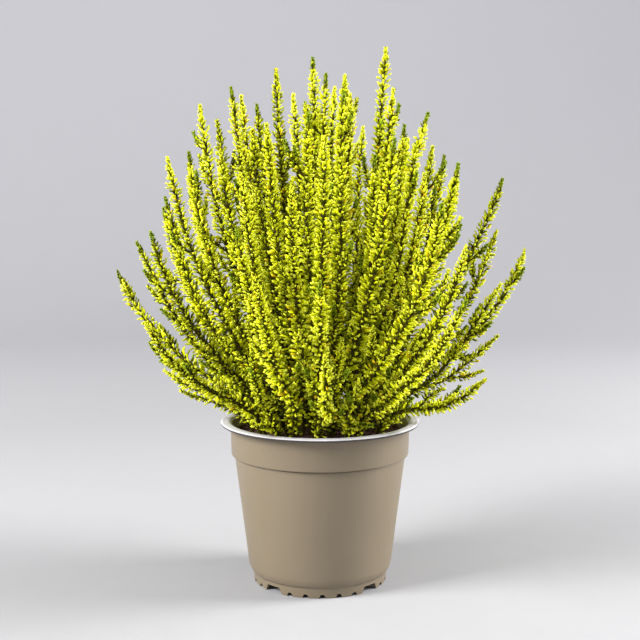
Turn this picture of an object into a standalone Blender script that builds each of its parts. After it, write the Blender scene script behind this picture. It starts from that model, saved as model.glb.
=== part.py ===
"""Potted heather: a lime-leaved heather in a thin two-tone nursery pot.

The pot stands on its foot ring at z = 0 with its axis on the Z axis. It holds a plug of peat, and
the heather's woody stems stand in plain holes in the peat. A stem forks near the soil into two
leafy shoots. A shoot's surface is raised into rows of small pointed tufts, which cover it.
Units are metres, +Z is up. Run it with: blender --background --python part.py
"""

import math
import random

import bmesh
import bpy
import numpy as np

MM = 0.001

# Pot: a turned wall with a flange at the top, a collar, a tapered body and a foot ring
RIM_RADIUS = 55.0 * MM
POT_HEIGHT = 90.0 * MM
WALL = 1.0 * MM
FLANGE_WIDTH = 5.4 * MM
FLANGE_THICKNESS = 1.4 * MM
FLANGE_LIP_DROP = 0.3 * MM
FLANGE_ROUNDING = 0.8 * MM
COLLAR_HEIGHT = 18.5 * MM
COLLAR_TAPER = 0.5 * MM
STEP_WIDTH = 1.8 * MM
STEP_HEIGHT = 1.8 * MM
BODY_FOOT_RADIUS = 39.7 * MM
BODY_FOOT_Z = 9.5 * MM
SHOULDER_RADIUS = 38.4 * MM
SHOULDER_Z = 6.6 * MM
FOOT_RADIUS = 36.9 * MM
FOOT_TOP_RADIUS = 37.3 * MM
FOOT_TOP_Z = 5.6 * MM
FOOT_WALL = 1.5 * MM
FLOOR_Z = 4.6 * MM
FLOOR_THICKNESS = 1.2 * MM
POT_SEGMENTS = 36
COLLAR_TOP_RADIUS = RIM_RADIUS - FLANGE_WIDTH
COLLAR_FOOT_RADIUS = COLLAR_TOP_RADIUS - COLLAR_TAPER
COLLAR_FOOT_Z = POT_HEIGHT - COLLAR_HEIGHT
BODY_TOP_RADIUS = COLLAR_FOOT_RADIUS - STEP_WIDTH
BODY_TOP_Z = COLLAR_FOOT_Z - STEP_HEIGHT
FLOOR_TOP_Z = FLOOR_Z + FLOOR_THICKNESS

# Foot ring: a wide notch in each quarter, with small ones between, and drain holes in the floor
QUARTERS = 4
FIRST_WIDE_NOTCH_DEG = -43.0
WIDE_NOTCH_WIDTH = 12.0 * MM
WIDE_NOTCH_TOP_WIDTH = 8.5 * MM
WIDE_NOTCH_HEIGHT = 3.7 * MM
SMALL_NOTCHES = 5
SMALL_NOTCH_PITCH_DEG = 14.0
SMALL_NOTCH_WIDTH = 3.2 * MM
SMALL_NOTCH_HEIGHT = 2.1 * MM
DRAIN_HOLES = 8
DRAIN_HOLE_RADIUS = 2.5 * MM
DRAIN_CIRCLE_RADIUS = 25.0 * MM
DRAIN_SIDES = 8

# Peat plug
FIT_GAP = 0.35 * MM
SOIL_EDGE_Z = 83.0 * MM
SOIL_CROWN = 1.5 * MM
SOIL_RELIEF = 0.7 * MM
SOIL_SEGMENTS = 24
SOIL_RINGS = (0.28, 0.52, 0.74, 0.92)
SOIL_SEED = 7
SOIL_EDGE_BAND = 2.0 * MM
HOLE_RADIUS = 2.1 * MM
HOLE_SIDES = 5

# Habit of the plant: how a shoot leans and how long it is, by how far out its stem stands
SHOOTS = 100
PLANT_SEED = 4100
ROOT_CIRCLE_RADIUS = 41.0 * MM
GOLDEN_ANGLE = math.radians(137.508)
PAIR_REACH = 11.0 * MM
HABIT = (
    # share of the root circle's radius, lean at the soil, at the bend and at the tip, length
    (0.00, 2.0, 3.0, 1.0, 190.0),
    (0.35, 8.0, 10.0, 4.0, 186.0),
    (0.60, 14.0, 23.0, 8.0, 164.0),
    (0.80, 20.0, 40.0, 16.0, 142.0),
    (0.92, 24.0, 55.0, 26.0, 116.0),
    (1.00, 25.0, 80.0, 56.0, 64.0),
)
BEND_SHARE = 0.35
SHORT_EVERY = 3
SHORT_FROM_SHARE = 0.68
SHORT_LENGTH = 0.42
LENGTH_SPREAD = 0.08
LEAN_SPREAD = 0.08
SWIRL_SPREAD_DEG = 6.0
WOBBLE = 1.6 * MM
ROOT_DEPTH = 12.0 * MM
FORK_HEIGHT = 9.0 * MM
FORK_BLEND = 34.0 * MM
FORK_FILLED = 26.0 * MM
PATH_STEP = 2.0 * MM

# Tips that stand clear of the others in the outline: across, away and above the rim, in mm
OUTLINE_TIPS = (
    (36, 10, 204), (-4, 5, 197), (13, -14, 186), (38, -25, 178), (46, 4, 161), (58, -20, 149),
    (69, 14, 145), (74, -6, 134), (97, 8, 104), (112, -2, 94), (97, -14, 76), (98, 2, 46),
    (76, -10, 20), (-24, 12, 192), (-42, -6, 176), (-56, 10, 164), (-70, -10, 146), (-85, 6, 122),
    (-99, -6, 98), (-112, 4, 82), (-93, 0, 44), (-75, -8, 18), (0, -106, 84), (4, 106, 90),
)

# Room between shoots
SPACING = 10.5 * MM
SPACING_ROUNDS = 14
SPACING_FREE_FROM = 55.0 * MM
SPACING_SMOOTH_STEPS = 7
LEAST_GAP = 0.1 * MM
OUTLINE_HOLD = 0.2
CLEARANCE = 0.6 * MM

# Shoot: a woody stem below, tufts above in rings from the tip down, and a slim point at the end
STEM_RADIUS = 1.3 * MM
SIDE_STEM_RADIUS = 1.0 * MM
FORK_START_RADIUS = 0.5 * MM
STEM_SIDES = 3
STEM_PITCH = 30.0 * MM
OUT_OF_HOLE = 1.5 * MM
STEM_NECK = 2.0 * MM
LEAFY_FROM_SOIL = 7.0 * MM
LEAFY_INNER = 104.0 * MM
LEAFY_OUTER = 134.0 * MM
LEAFY_INNER_SHARE = 0.4
LEAFY_OUTER_SHARE = 0.8
TUFT_SIDES = 6
TUFT_PITCH_TIP = 5.2 * MM
TUFT_PITCH_GROWTH = 7.0 * MM
TUFT_PITCH_LENGTH = 30.0 * MM
TUFT_LIFT = 0.55
TUFT_TWIST = math.radians(13.0)
TUFT_JITTER = 0.12
TUFT_SEED = PLANT_SEED + 1000
TIP_LENGTH = 5.5 * MM
TIP_RADIUS = 1.2 * MM
COLUMN_GROWTH = 5.0 * MM
COLUMN_LENGTH = 20.0 * MM
VALLEY_SHARE = 0.52
VALLEY_LEAST_SHARE = 0.9


def clear_scene():
    for obj in list(bpy.data.objects):
        bpy.data.objects.remove(obj)


def material(name, colour, roughness):
    made = bpy.data.materials.new(name)
    made.use_nodes = True
    shader = made.node_tree.nodes["Principled BSDF"]
    shader.inputs["Base Color"].default_value = (*colour, 1.0)
    shader.inputs["Roughness"].default_value = roughness
    shader.inputs["Metallic"].default_value = 0.0
    return made


def add_object(name, points, faces, finish=None):
    mesh = bpy.data.meshes.new(name)
    mesh.from_pydata([tuple(p) for p in points], [], faces)
    if finish:
        mesh.materials.append(finish)
    obj = bpy.data.objects.new(name, mesh)
    bpy.context.scene.collection.objects.link(obj)
    return obj


def turned(name, profile, segments, finish):
    """A body turned about Z from an outline whose two ends lie on the axis."""
    bm = bmesh.new()
    corners = [bm.verts.new((radius, 0.0, z)) for radius, z in profile]
    edges = [bm.edges.new(pair) for pair in zip(corners, corners[1:])]
    bmesh.ops.spin(
        bm,
        geom=corners + edges,
        axis=(0, 0, 1),
        cent=(0, 0, 0),
        steps=segments,
        angle=math.tau,
    )
    bmesh.ops.remove_doubles(bm, verts=bm.verts, dist=0.01 * MM)
    bmesh.ops.recalc_face_normals(bm, faces=bm.faces)
    mesh = bpy.data.meshes.new(name)
    bm.to_mesh(mesh)
    bm.free()
    mesh.materials.append(finish)
    obj = bpy.data.objects.new(name, mesh)
    bpy.context.scene.collection.objects.link(obj)
    return obj


def cut(obj, cutter, name):
    cutter.hide_render = True
    cutter.display_type = "WIRE"
    boolean = obj.modifiers.new(name, "BOOLEAN")
    boolean.operation = "DIFFERENCE"
    boolean.object = cutter
    boolean.solver = "EXACT"


def shade_round(obj, angle_deg=35.0):
    obj.data.shade_smooth()
    obj.data.set_sharp_from_angle(angle=math.radians(angle_deg))


# Pot


def inner_wall():
    """Radius and height of the corners inside the pot, from the rim down to the floor's edge."""
    return (
        (COLLAR_TOP_RADIUS - WALL, POT_HEIGHT - 1.2 * WALL),
        (COLLAR_FOOT_RADIUS - WALL, COLLAR_FOOT_Z + 0.4 * WALL),
        (BODY_TOP_RADIUS - WALL, BODY_TOP_Z + 0.2 * WALL),
        (BODY_FOOT_RADIUS - WALL, BODY_FOOT_Z + 0.2 * WALL),
        (FOOT_TOP_RADIUS - WALL, FLOOR_TOP_Z + 0.9 * WALL),
        (FOOT_RADIUS - FOOT_WALL, FLOOR_TOP_Z),
    )


def pot_outline():
    """Radius and height of each corner, from the floor's underside out, up and back down inside."""
    lip_z = POT_HEIGHT - FLANGE_THICKNESS
    outside = (
        (0.0, FLOOR_Z),
        (FOOT_RADIUS - FOOT_WALL, FLOOR_Z),
        (FOOT_RADIUS - FOOT_WALL, 0.0),
        (FOOT_RADIUS, 0.0),
        (FOOT_TOP_RADIUS, FOOT_TOP_Z),
        (SHOULDER_RADIUS, SHOULDER_Z),
        (BODY_FOOT_RADIUS, BODY_FOOT_Z),
        (BODY_TOP_RADIUS, BODY_TOP_Z),
        (COLLAR_FOOT_RADIUS, COLLAR_FOOT_Z),
        (COLLAR_TOP_RADIUS, lip_z),
        (RIM_RADIUS - FLANGE_ROUNDING / 2, lip_z - FLANGE_LIP_DROP),
        (RIM_RADIUS, lip_z + FLANGE_LIP_DROP),
        (RIM_RADIUS - FLANGE_ROUNDING, POT_HEIGHT),
        (COLLAR_TOP_RADIUS + FLANGE_ROUNDING, POT_HEIGHT),
    )
    return outside + inner_wall() + ((0.0, FLOOR_TOP_Z),)


def prism(outline, near, far, angle):
    """Points and faces of an outline in the (sideways, z) plane, pushed outwards at this angle."""
    out = (math.cos(angle), math.sin(angle))
    side = (-out[1], out[0])
    points = [
        (out[0] * reach + side[0] * x, out[1] * reach + side[1] * x, z)
        for reach in (near, far)
        for x, z in outline
    ]
    count = len(outline)
    walls = [(k, (k + 1) % count, count + (k + 1) % count, count + k) for k in range(count)]
    return points, walls + [tuple(range(count))[::-1], tuple(range(count, 2 * count))]


def straight_tube(low, high, radius, sides):
    """Points and faces of a closed straight tube between two points."""
    low, high = np.array(low, float), np.array(high, float)
    along = (high - low) / np.linalg.norm(high - low)
    first = np.cross(along, (0.0, 1.0, 0.0))
    first /= np.linalg.norm(first)
    second = np.cross(along, first)
    turns = [math.tau * k / sides for k in range(sides)]
    ring = [radius * (math.cos(turn) * first + math.sin(turn) * second) for turn in turns]
    points = [low + spoke for spoke in ring] + [high + spoke for spoke in ring]
    walls = [(k, (k + 1) % sides, sides + (k + 1) % sides, sides + k) for k in range(sides)]
    return points, walls + [tuple(range(sides))[::-1], tuple(range(sides, 2 * sides))]


def joined_cutter(name, shapes):
    """One object that holds several closed shapes which don't meet."""
    points, faces = [], []
    for shape_points, shape_faces in shapes:
        start = len(points)
        points.extend(shape_points)
        faces.extend(tuple(start + k for k in face) for face in shape_faces)
    return add_object(name, points, faces)


def notch_outlines():
    """The wide and the small notch, in the (sideways, z) plane, from below the foot ring up."""
    below = -2.0 * MM
    wide, wide_top = WIDE_NOTCH_WIDTH / 2, WIDE_NOTCH_TOP_WIDTH / 2
    small, small_top = SMALL_NOTCH_WIDTH / 2, SMALL_NOTCH_WIDTH / 4
    small_shoulder = 0.4 * SMALL_NOTCH_HEIGHT
    wide_outline = (
        (-wide, below), (wide, below), (wide, 0.0),
        (wide_top, WIDE_NOTCH_HEIGHT), (-wide_top, WIDE_NOTCH_HEIGHT), (-wide, 0.0),
    )
    small_outline = (
        (-small, below), (small, below), (small, small_shoulder),
        (small_top, SMALL_NOTCH_HEIGHT), (-small_top, SMALL_NOTCH_HEIGHT), (-small, small_shoulder),
    )
    return wide_outline, small_outline


def make_pot(finish):
    pot = turned("pot", pot_outline(), POT_SEGMENTS, finish)
    shade_round(pot)
    wide_outline, small_outline = notch_outlines()
    near, far = FOOT_RADIUS - 4 * FOOT_WALL, FOOT_RADIUS + 2 * FOOT_WALL
    quarter_deg = 360 / QUARTERS
    shapes = []
    for quarter in range(QUARTERS):
        wide_deg = FIRST_WIDE_NOTCH_DEG - 90 + quarter * quarter_deg
        shapes.append(prism(wide_outline, near, far, math.radians(wide_deg)))
        for k in range(SMALL_NOTCHES):
            offset_deg = (k - (SMALL_NOTCHES - 1) / 2) * SMALL_NOTCH_PITCH_DEG
            small_deg = wide_deg + quarter_deg / 2 + offset_deg
            shapes.append(prism(small_outline, near, far, math.radians(small_deg)))
    for hole in range(DRAIN_HOLES):
        turn = math.tau * hole / DRAIN_HOLES
        x, y = DRAIN_CIRCLE_RADIUS * math.cos(turn), DRAIN_CIRCLE_RADIUS * math.sin(turn)
        low, high = (x, y, FLOOR_Z - WALL), (x, y, FLOOR_TOP_Z + WALL)
        shapes.append(straight_tube(low, high, DRAIN_HOLE_RADIUS, DRAIN_SIDES))
    cut(pot, joined_cutter("pot_cutter", shapes), "notches_and_drains")


# Peat


def soil_height(reach):
    """Height of the peat's smooth surface at this distance from the axis."""
    return SOIL_EDGE_Z + SOIL_CROWN * (1.0 - (reach / ROOT_CIRCLE_RADIUS) ** 2)


def make_soil(finish, sprays):
    """A plug that fills the pot with a small gap, has a rough top and a hole for each stem."""
    walls = [(radius - FIT_GAP, z + FIT_GAP) for radius, z in inner_wall()[::-1]]
    top_radius = COLLAR_TOP_RADIUS - WALL - 2 * FIT_GAP
    sides = walls[:-1] + [(top_radius, soil_height(top_radius))]
    top = [(share * top_radius, soil_height(share * top_radius)) for share in SOIL_RINGS[::-1]]
    profile = [(0.0, FLOOR_TOP_Z + FIT_GAP)] + sides + top + [(0.0, soil_height(0.0))]
    soil = turned("potting_soil", profile, SOIL_SEGMENTS, finish)
    chance = random.Random(SOIL_SEED)
    for vertex in soil.data.vertices:
        on_top = vertex.co.z > SOIL_EDGE_Z - SOIL_EDGE_BAND
        if on_top and vertex.co.xy.length < top_radius - SOIL_EDGE_BAND:
            vertex.co.z += SOIL_RELIEF * chance.uniform(-1.0, 1.0)
    holes = []
    for spray in sprays:
        path = spray[0]["path"]
        start = path[1] - path[0]
        start /= np.linalg.norm(start)
        low = path[0] - 2 * FIT_GAP * start
        high = path[0] + (ROOT_DEPTH + 2 * HOLE_RADIUS) * start
        holes.append(straight_tube(low, high, HOLE_RADIUS, HOLE_SIDES))
    cut(soil, joined_cutter("soil_cutter", holes), "stem_holes")


# Growth of the plant


def smooth(t):
    t = np.clip(t, 0.0, 1.0)
    return t * t * (3.0 - 2.0 * t)


def habit(share):
    """Lean at the soil, at the bend and at the tip, and length, at this share of the root circle."""
    shares, *columns = zip(*HABIT)
    start, bend, tip, length = (float(np.interp(share, shares, column)) for column in columns)
    return math.radians(start), math.radians(bend), math.radians(tip), length * MM


def seed_places():
    """A place in the root circle for each shoot, on a sunflower's spiral."""
    places = []
    for k in range(SHOOTS):
        reach = ROOT_CIRCLE_RADIUS * math.sqrt((k + 0.5) / SHOOTS)
        turn = k * GOLDEN_ANGLE
        places.append(np.array((reach * math.cos(turn), reach * math.sin(turn))))
    return places


def share_stems(places):
    """Groups of one or two neighbours that share a woody stem, from the outside in."""
    free = list(range(len(places)))[::-1]
    groups = []
    while free:
        first = free.pop(0)
        near = sorted(free, key=lambda k: np.linalg.norm(places[k] - places[first]))
        if near and np.linalg.norm(places[near[0]] - places[first]) < PAIR_REACH:
            free.remove(near[0])
            groups.append((first, near[0]))
        else:
            groups.append((first,))
    return groups


def draws_for(k, share):
    """Shoot k's own length and lean factors, swirl, and wobble turns and phase."""
    chance = random.Random(PLANT_SEED + k)
    is_short = share > SHORT_FROM_SHARE and k % SHORT_EVERY == 0
    return (
        (SHORT_LENGTH if is_short else 1.0) * (1.0 + LENGTH_SPREAD * chance.uniform(-1.0, 1.0)),
        1.0 + LEAN_SPREAD * chance.uniform(-1.0, 1.0),
        math.radians(SWIRL_SPREAD_DEG) * chance.uniform(-1.0, 1.0),
        chance.uniform(0.6, 1.3),
        chance.uniform(0.0, math.tau),
    )


def flow_line(place, draws):
    """Points of a shoot from the soil up, a path step apart, from this place in the root circle."""
    length_factor, lean_factor, swirl, wobble_turns, wobble_phase = draws
    reach = float(np.hypot(*place))
    start, bend, tip, length = habit(reach / ROOT_CIRCLE_RADIUS)
    length *= length_factor
    along = np.arange(int(length / PATH_STEP) + 1) * PATH_STEP
    bend_at = BEND_SHARE * length
    first_part = start + (bend - start) * smooth(along / bend_at)
    second_part = bend + (tip - bend) * smooth((along - bend_at) / (length - bend_at))
    lean = np.where(along < bend_at, first_part, second_part) * lean_factor
    out = reach + PATH_STEP * np.concatenate([[0.0], np.cumsum(np.sin(lean[:-1]))])
    rise = PATH_STEP * np.concatenate([[0.0], np.cumsum(np.cos(lean[:-1]))])
    grown = smooth(along / length)
    heading = math.atan2(place[1], place[0]) + swirl * grown
    side = WOBBLE * np.sin(wobble_turns * math.tau * along / length + wobble_phase) * grown
    x = out * np.cos(heading) - side * np.sin(heading)
    y = out * np.sin(heading) + side * np.cos(heading)
    return np.stack([x, y, soil_height(reach) + rise], axis=1)


def shoot_path(place, root, draws):
    """A shoot's line from its root's end up: along the shared stem, then out of the fork."""
    own = flow_line(place, draws)
    shared = flow_line(root, (draws[0], 1.0, 0.0, 1.0, 0.0))
    spare = max(len(own) - len(shared), 0)
    shared = np.concatenate([shared, np.repeat(shared[-1:], spare, axis=0)])[: len(own)]
    along = np.arange(len(own)) * PATH_STEP
    away = smooth((along - FORK_HEIGHT) / FORK_BLEND)[:, None]
    line = shared * (1.0 - away) + own * away
    start = line[1] - line[0]
    start /= np.linalg.norm(start)
    depths = np.arange(int(round(ROOT_DEPTH / PATH_STEP)), 0, -1)[:, None] * PATH_STEP
    return np.concatenate([line[0] - depths * start, line])


def above_soil(path):
    """Distance along the path from the soil's surface, below it counted as negative."""
    return np.arange(len(path)) * PATH_STEP - ROOT_DEPTH


def draw_outline(shoots):
    """Bend the shoots whose tips are nearest to the outline's tips so that they end there."""
    free = list(shoots)
    for across, away, above in OUTLINE_TIPS:
        goal = np.array((across * MM, away * MM, POT_HEIGHT + above * MM))
        nearest = min(free, key=lambda shoot: np.linalg.norm(shoot["path"][-1] - goal))
        free = [shoot for shoot in free if shoot is not nearest]
        path = nearest["path"]
        along = above_soil(path) - FORK_HEIGHT
        nearest["path"] = path + smooth(along / along[-1])[:, None] * (goal - path[-1])
        nearest["hold"] = OUTLINE_HOLD


def smoothed(values):
    """A running mean along a path that keeps its length."""
    width = SPACING_SMOOTH_STEPS
    padded = np.pad(values, ((width, width), (0, 0)), mode="edge")
    sums = np.cumsum(np.concatenate([np.zeros((1, 3)), padded]), axis=0)
    return (sums[2 * width + 1 :] - sums[: -2 * width - 1]) / (2 * width + 1)


def make_room(shoots):
    """Push shoots that come closer than the spacing apart, more so the higher they are."""
    for _ in range(SPACING_ROUNDS):
        points = np.concatenate([shoot["path"] for shoot in shoots])
        owners = np.concatenate([np.full(len(s["path"]), k) for k, s in enumerate(shoots)])
        moved = []
        for k, shoot in enumerate(shoots):
            path = shoot["path"]
            apart = path[:, None, :] - points[None, owners != k, :]
            distance = np.linalg.norm(apart, axis=2)
            nearest = np.argmin(distance, axis=1)
            rows = np.arange(len(path))
            gap = np.maximum(distance[rows, nearest], LEAST_GAP)
            push = np.maximum(SPACING - gap, 0.0) / gap / 2
            free = smooth((above_soil(path) - FORK_HEIGHT) / SPACING_FREE_FROM) * shoot["hold"]
            moved.append(smoothed(apart[rows, nearest] * push[:, None]) * free[:, None])
        for shoot, step in zip(shoots, moved):
            shoot["path"] = shoot["path"] + step


def grow():
    """The sprays, each a list of one or two shoots with their paths and place in the circle."""
    places = seed_places()
    sprays = []
    for group in share_stems(places):
        root = sum(places[k] for k in group) / len(group)
        spray = []
        for k in group:
            share = float(np.hypot(*places[k])) / ROOT_CIRCLE_RADIUS
            path = shoot_path(places[k], root, draws_for(k, share))
            spray.append({"index": k, "share": share, "path": path, "hold": 1.0})
        sprays.append(spray)
    shoots = [shoot for spray in sprays for shoot in spray]
    draw_outline(shoots)
    make_room(shoots)
    for spray in sprays:
        for shoot in spray:
            shoot["radius"] = free_radius(shoot, spray, sprays)
    return sprays


# Thickness of a shoot


def room_in_pot(path):
    """Distance from each point to the soil and the rim."""
    reach = np.hypot(path[:, 0], path[:, 1])
    over_soil = path[:, 2] - soil_height(np.minimum(reach, ROOT_CIRCLE_RADIUS)) - SOIL_RELIEF
    over_soil = np.where(reach < COLLAR_TOP_RADIUS, over_soil, RIM_RADIUS)
    beside_rim = np.maximum(COLLAR_TOP_RADIUS - WALL - reach, reach - RIM_RADIUS)
    over_rim = np.maximum(path[:, 2] - POT_HEIGHT, 0.0)
    return np.minimum(over_soil, np.hypot(np.maximum(beside_rim, 0.0), over_rim))


def free_radius(shoot, spray, sprays):
    """The column's outer radius at each path point: its natural one, or what its neighbours leave."""
    path = shoot["path"]
    others = np.concatenate([s["path"] for group in sprays if group is not spray for s in group])
    between = np.linalg.norm(path[:, None, :] - others[None, :, :], axis=2).min(axis=1)
    room = np.minimum((between - CLEARANCE) / 2, room_in_pot(path) - CLEARANCE)
    from_tip = (len(path) - 1 - np.arange(len(path))) * PATH_STEP
    natural = TIP_RADIUS + COLUMN_GROWTH * (1.0 - np.exp(-from_tip / COLUMN_LENGTH))
    if shoot is not spray[0]:
        main = spray[0]
        apart = np.linalg.norm(path[:, None, :] - main["path"][None, :, :], axis=2)
        clear = (apart - main["radius"][None, :]).min(axis=1) - CLEARANCE
        in_fork = 1.0 - smooth((above_soil(path) - FORK_HEIGHT) / FORK_FILLED)
        room = np.minimum(room, np.maximum(clear, natural * in_fork))
    return np.minimum(natural, room)


def leafy_length(shoot, is_main):
    """Length of the tufted column from the tip down, longer on the outer shoots."""
    above = above_soil(shoot["path"])[-1]
    outward = (shoot["share"] - LEAFY_INNER_SHARE) / (LEAFY_OUTER_SHARE - LEAFY_INNER_SHARE)
    wanted = LEAFY_INNER + (LEAFY_OUTER - LEAFY_INNER) * smooth(outward)
    return min(wanted, above - (LEAFY_FROM_SOIL if is_main else LEAFY_FROM_SOIL + FORK_HEIGHT))


def ring_distances(shoot, is_main):
    """Distances from the tip to the rings of tufts, closer together near the tip."""
    distances = [TIP_LENGTH]
    end = leafy_length(shoot, is_main)
    while distances[-1] < end:
        last = distances[-1]
        growth = 1.0 - math.exp(-last / TUFT_PITCH_LENGTH)
        distances.append(last + TUFT_PITCH_TIP + TUFT_PITCH_GROWTH * growth)
    return distances[:-1] if distances[-1] > end + STEM_NECK else distances


def frames(path):
    """A tangent and two sideways directions at each path point, without twist along the path."""
    tangents = np.gradient(path, axis=0)
    tangents /= np.linalg.norm(tangents, axis=1)[:, None]
    side = np.cross(tangents[0], (0.0, 1.0, 0.0))
    sides = []
    for tangent in tangents:
        side = side - tangent * np.dot(side, tangent)
        side = side / np.linalg.norm(side)
        sides.append(side)
    sides = np.array(sides)
    return tangents, sides, np.cross(tangents, sides)


class ShootLine:
    """A shoot's path, read at any distance above the soil, with the directions along and across it."""

    def __init__(self, path):
        self.above = above_soil(path)
        self.columns = np.concatenate([path, *frames(path)], axis=1).T

    def point(self, distance, angle=0.0, reach=0.0, lift=0.0):
        """The point at this distance, pushed sideways by reach at this angle and onwards by lift."""
        values = np.array([np.interp(distance, self.above, column) for column in self.columns])
        centre, tangent, first, second = values.reshape(4, 3)
        return centre + reach * (math.cos(angle) * first + math.sin(angle) * second) + lift * tangent


def stem_points(line, bottom, top, is_main):
    """The corners of the bare stem's rings. A side stem starts thin, inside the main one."""
    steps = max(1, round((top - bottom) / STEM_PITCH))
    levels = [bottom + (top - bottom) * k / steps for k in range(steps + 1)]
    thickness = [STEM_RADIUS if is_main else SIDE_STEM_RADIUS] * len(levels)
    if is_main:
        levels = [bottom, OUT_OF_HOLE] + [level for level in levels if level > 2 * OUT_OF_HOLE]
        thickness = [STEM_RADIUS] * len(levels)
    else:
        thickness[0] = FORK_START_RADIUS
    return [
        line.point(level, first_angle(is_main) + math.tau * j / STEM_SIDES, thick)
        for level, thick in zip(levels, thickness)
        for j in range(STEM_SIDES)
    ]


def first_angle(is_main):
    return 0.0 if is_main else math.pi


def is_raised(ring, corner):
    """Tufts stand on every second corner, staggered from ring to ring, above the lowest ring."""
    return ring > 0 and (ring + corner) % 2 == 0


def tuft_points(shoot, line, rings, is_main):
    """The corners of the tufted column's rings: tufts that point out and up, and valleys between."""
    chance = random.Random(TUFT_SEED + shoot["index"])
    least = STEM_RADIUS if is_main else SIDE_STEM_RADIUS
    points = []
    for ring, (distance, following) in enumerate(zip(rings, rings[1:] + [line.above[-1]])):
        pitch = following - distance
        near = np.abs(line.above - distance) <= pitch
        outer = max(float(shoot["radius"][near].min()), least)
        for corner in range(TUFT_SIDES):
            angle = first_angle(is_main) + math.tau * corner / TUFT_SIDES + ring * TUFT_TWIST
            if is_raised(ring, corner):
                reach = max(outer * (1.0 - TUFT_JITTER * chance.random()), least)
                points.append(line.point(distance, angle, reach, min(TUFT_LIFT * pitch, outer)))
            else:
                reach = max(VALLEY_SHARE * outer, VALLEY_LEAST_SHARE * least)
                points.append(line.point(distance, angle, reach))
    return points


def stem_faces(rings):
    faces = [tuple(range(STEM_SIDES))[::-1]]
    for low in range(0, (rings - 1) * STEM_SIDES, STEM_SIDES):
        for j in range(STEM_SIDES):
            after = (j + 1) % STEM_SIDES
            faces.append((low + j, low + after, low + STEM_SIDES + after, low + STEM_SIDES + j))
    return faces


def neck_faces(stem_ring, tuft_ring):
    """From the stem's last ring to the lowest ring of the column, which has twice as many corners."""
    faces = []
    for j in range(STEM_SIDES):
        low, low_after = stem_ring + j, stem_ring + (j + 1) % STEM_SIDES
        high = [tuft_ring + (2 * j + n) % TUFT_SIDES for n in range(3)]
        faces += [(low, low_after, high[1]), (low, high[1], high[0]), (low_after, high[2], high[1])]
    return faces


def tuft_faces(first_ring, rings, tip):
    """Triangles between rings, split from valley to valley so that each tuft is a pyramid."""
    faces = []
    for ring in range(rings - 1):
        low = first_ring + ring * TUFT_SIDES
        high = low + TUFT_SIDES
        for j in range(TUFT_SIDES):
            after = (j + 1) % TUFT_SIDES
            if (ring + j) % 2 == 0:
                faces += [(low + j, low + after, high + j), (low + after, high + after, high + j)]
            else:
                faces += [(low + j, low + after, high + after), (low + j, high + after, high + j)]
    last = first_ring + (rings - 1) * TUFT_SIDES
    faces += [(last + j, last + (j + 1) % TUFT_SIDES, tip) for j in range(TUFT_SIDES)]
    return faces


def shoot_shape(shoot, is_main):
    """Points and faces of one shoot as a closed tube: woody stem, rings of tufts and a point."""
    line = ShootLine(shoot["path"])
    rings = [line.above[-1] - distance for distance in ring_distances(shoot, is_main)][::-1]
    bottom = -ROOT_DEPTH if is_main else FORK_HEIGHT - PATH_STEP
    stem = stem_points(line, bottom, rings[0] - STEM_NECK, is_main)
    points = stem + tuft_points(shoot, line, rings, is_main)
    faces = (
        stem_faces(len(stem) // STEM_SIDES)
        + neck_faces(len(stem) - STEM_SIDES, len(stem))
        + tuft_faces(len(stem), len(rings), len(points))
    )
    return points + [shoot["path"][-1]], faces


def fuse(main, limb):
    """Join a side shoot to the main one as one body, and leave out any hollow that this seals."""
    limbs = bpy.data.collections.new(main.name + "_limbs")
    bpy.context.scene.collection.children.link(limbs)
    bpy.context.scene.collection.objects.unlink(limb)
    limbs.objects.link(limb)
    union = main.modifiers.new("union", "BOOLEAN")
    union.operation = "UNION"
    union.operand_type = "COLLECTION"
    union.collection = limbs
    union.solver = "EXACT"
    depsgraph = bpy.context.evaluated_depsgraph_get()
    fused = bpy.data.meshes.new_from_object(main.evaluated_get(depsgraph))
    main.modifiers.clear()
    main.data = fused
    bpy.data.objects.remove(limb)
    bpy.data.collections.remove(limbs)
    keep_largest_shell(fused)


def keep_largest_shell(mesh):
    bm = bmesh.new()
    bm.from_mesh(mesh)
    unseen = set(bm.verts)
    shells = []
    while unseen:
        reached = [unseen.pop()]
        for vertex in reached:
            for edge in vertex.link_edges:
                other = edge.other_vert(vertex)
                if other in unseen:
                    unseen.remove(other)
                    reached.append(other)
        shells.append(reached)
    shells.sort(key=len)
    for shell in shells[:-1]:
        bmesh.ops.delete(bm, geom=shell, context="VERTS")
    bm.to_mesh(mesh)
    bm.free()


def make_plant(finish, sprays):
    for number, spray in enumerate(sprays, start=1):
        name = f"spray_{number:02d}"
        main = add_object(name, *shoot_shape(spray[0], True), finish)
        for shoot in spray[1:]:
            fuse(main, add_object(name + "_limb", *shoot_shape(shoot, False), finish))


def main():
    clear_scene()
    make_pot(material("pot_taupe", (0.36, 0.29, 0.21), 0.45))
    sprays = grow()
    make_soil(material("peat", (0.035, 0.018, 0.012), 0.95), sprays)
    make_plant(material("foliage_lime", (0.55, 0.60, 0.02), 0.6), sprays)


main()
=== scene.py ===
"""Looks of the potted heather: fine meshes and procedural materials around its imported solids.

Each spray gets its leaves and bark along the same lines that its solid follows, so the first part
of this file repeats how the plant grows. The pot and the peat repeat their solids in finer form.
Units are metres, +Z is up, and the viewer of the front view looks along +Y.
"""

import math
import random

import bmesh
import bpy
import numpy as np
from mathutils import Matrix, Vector, noise


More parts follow.
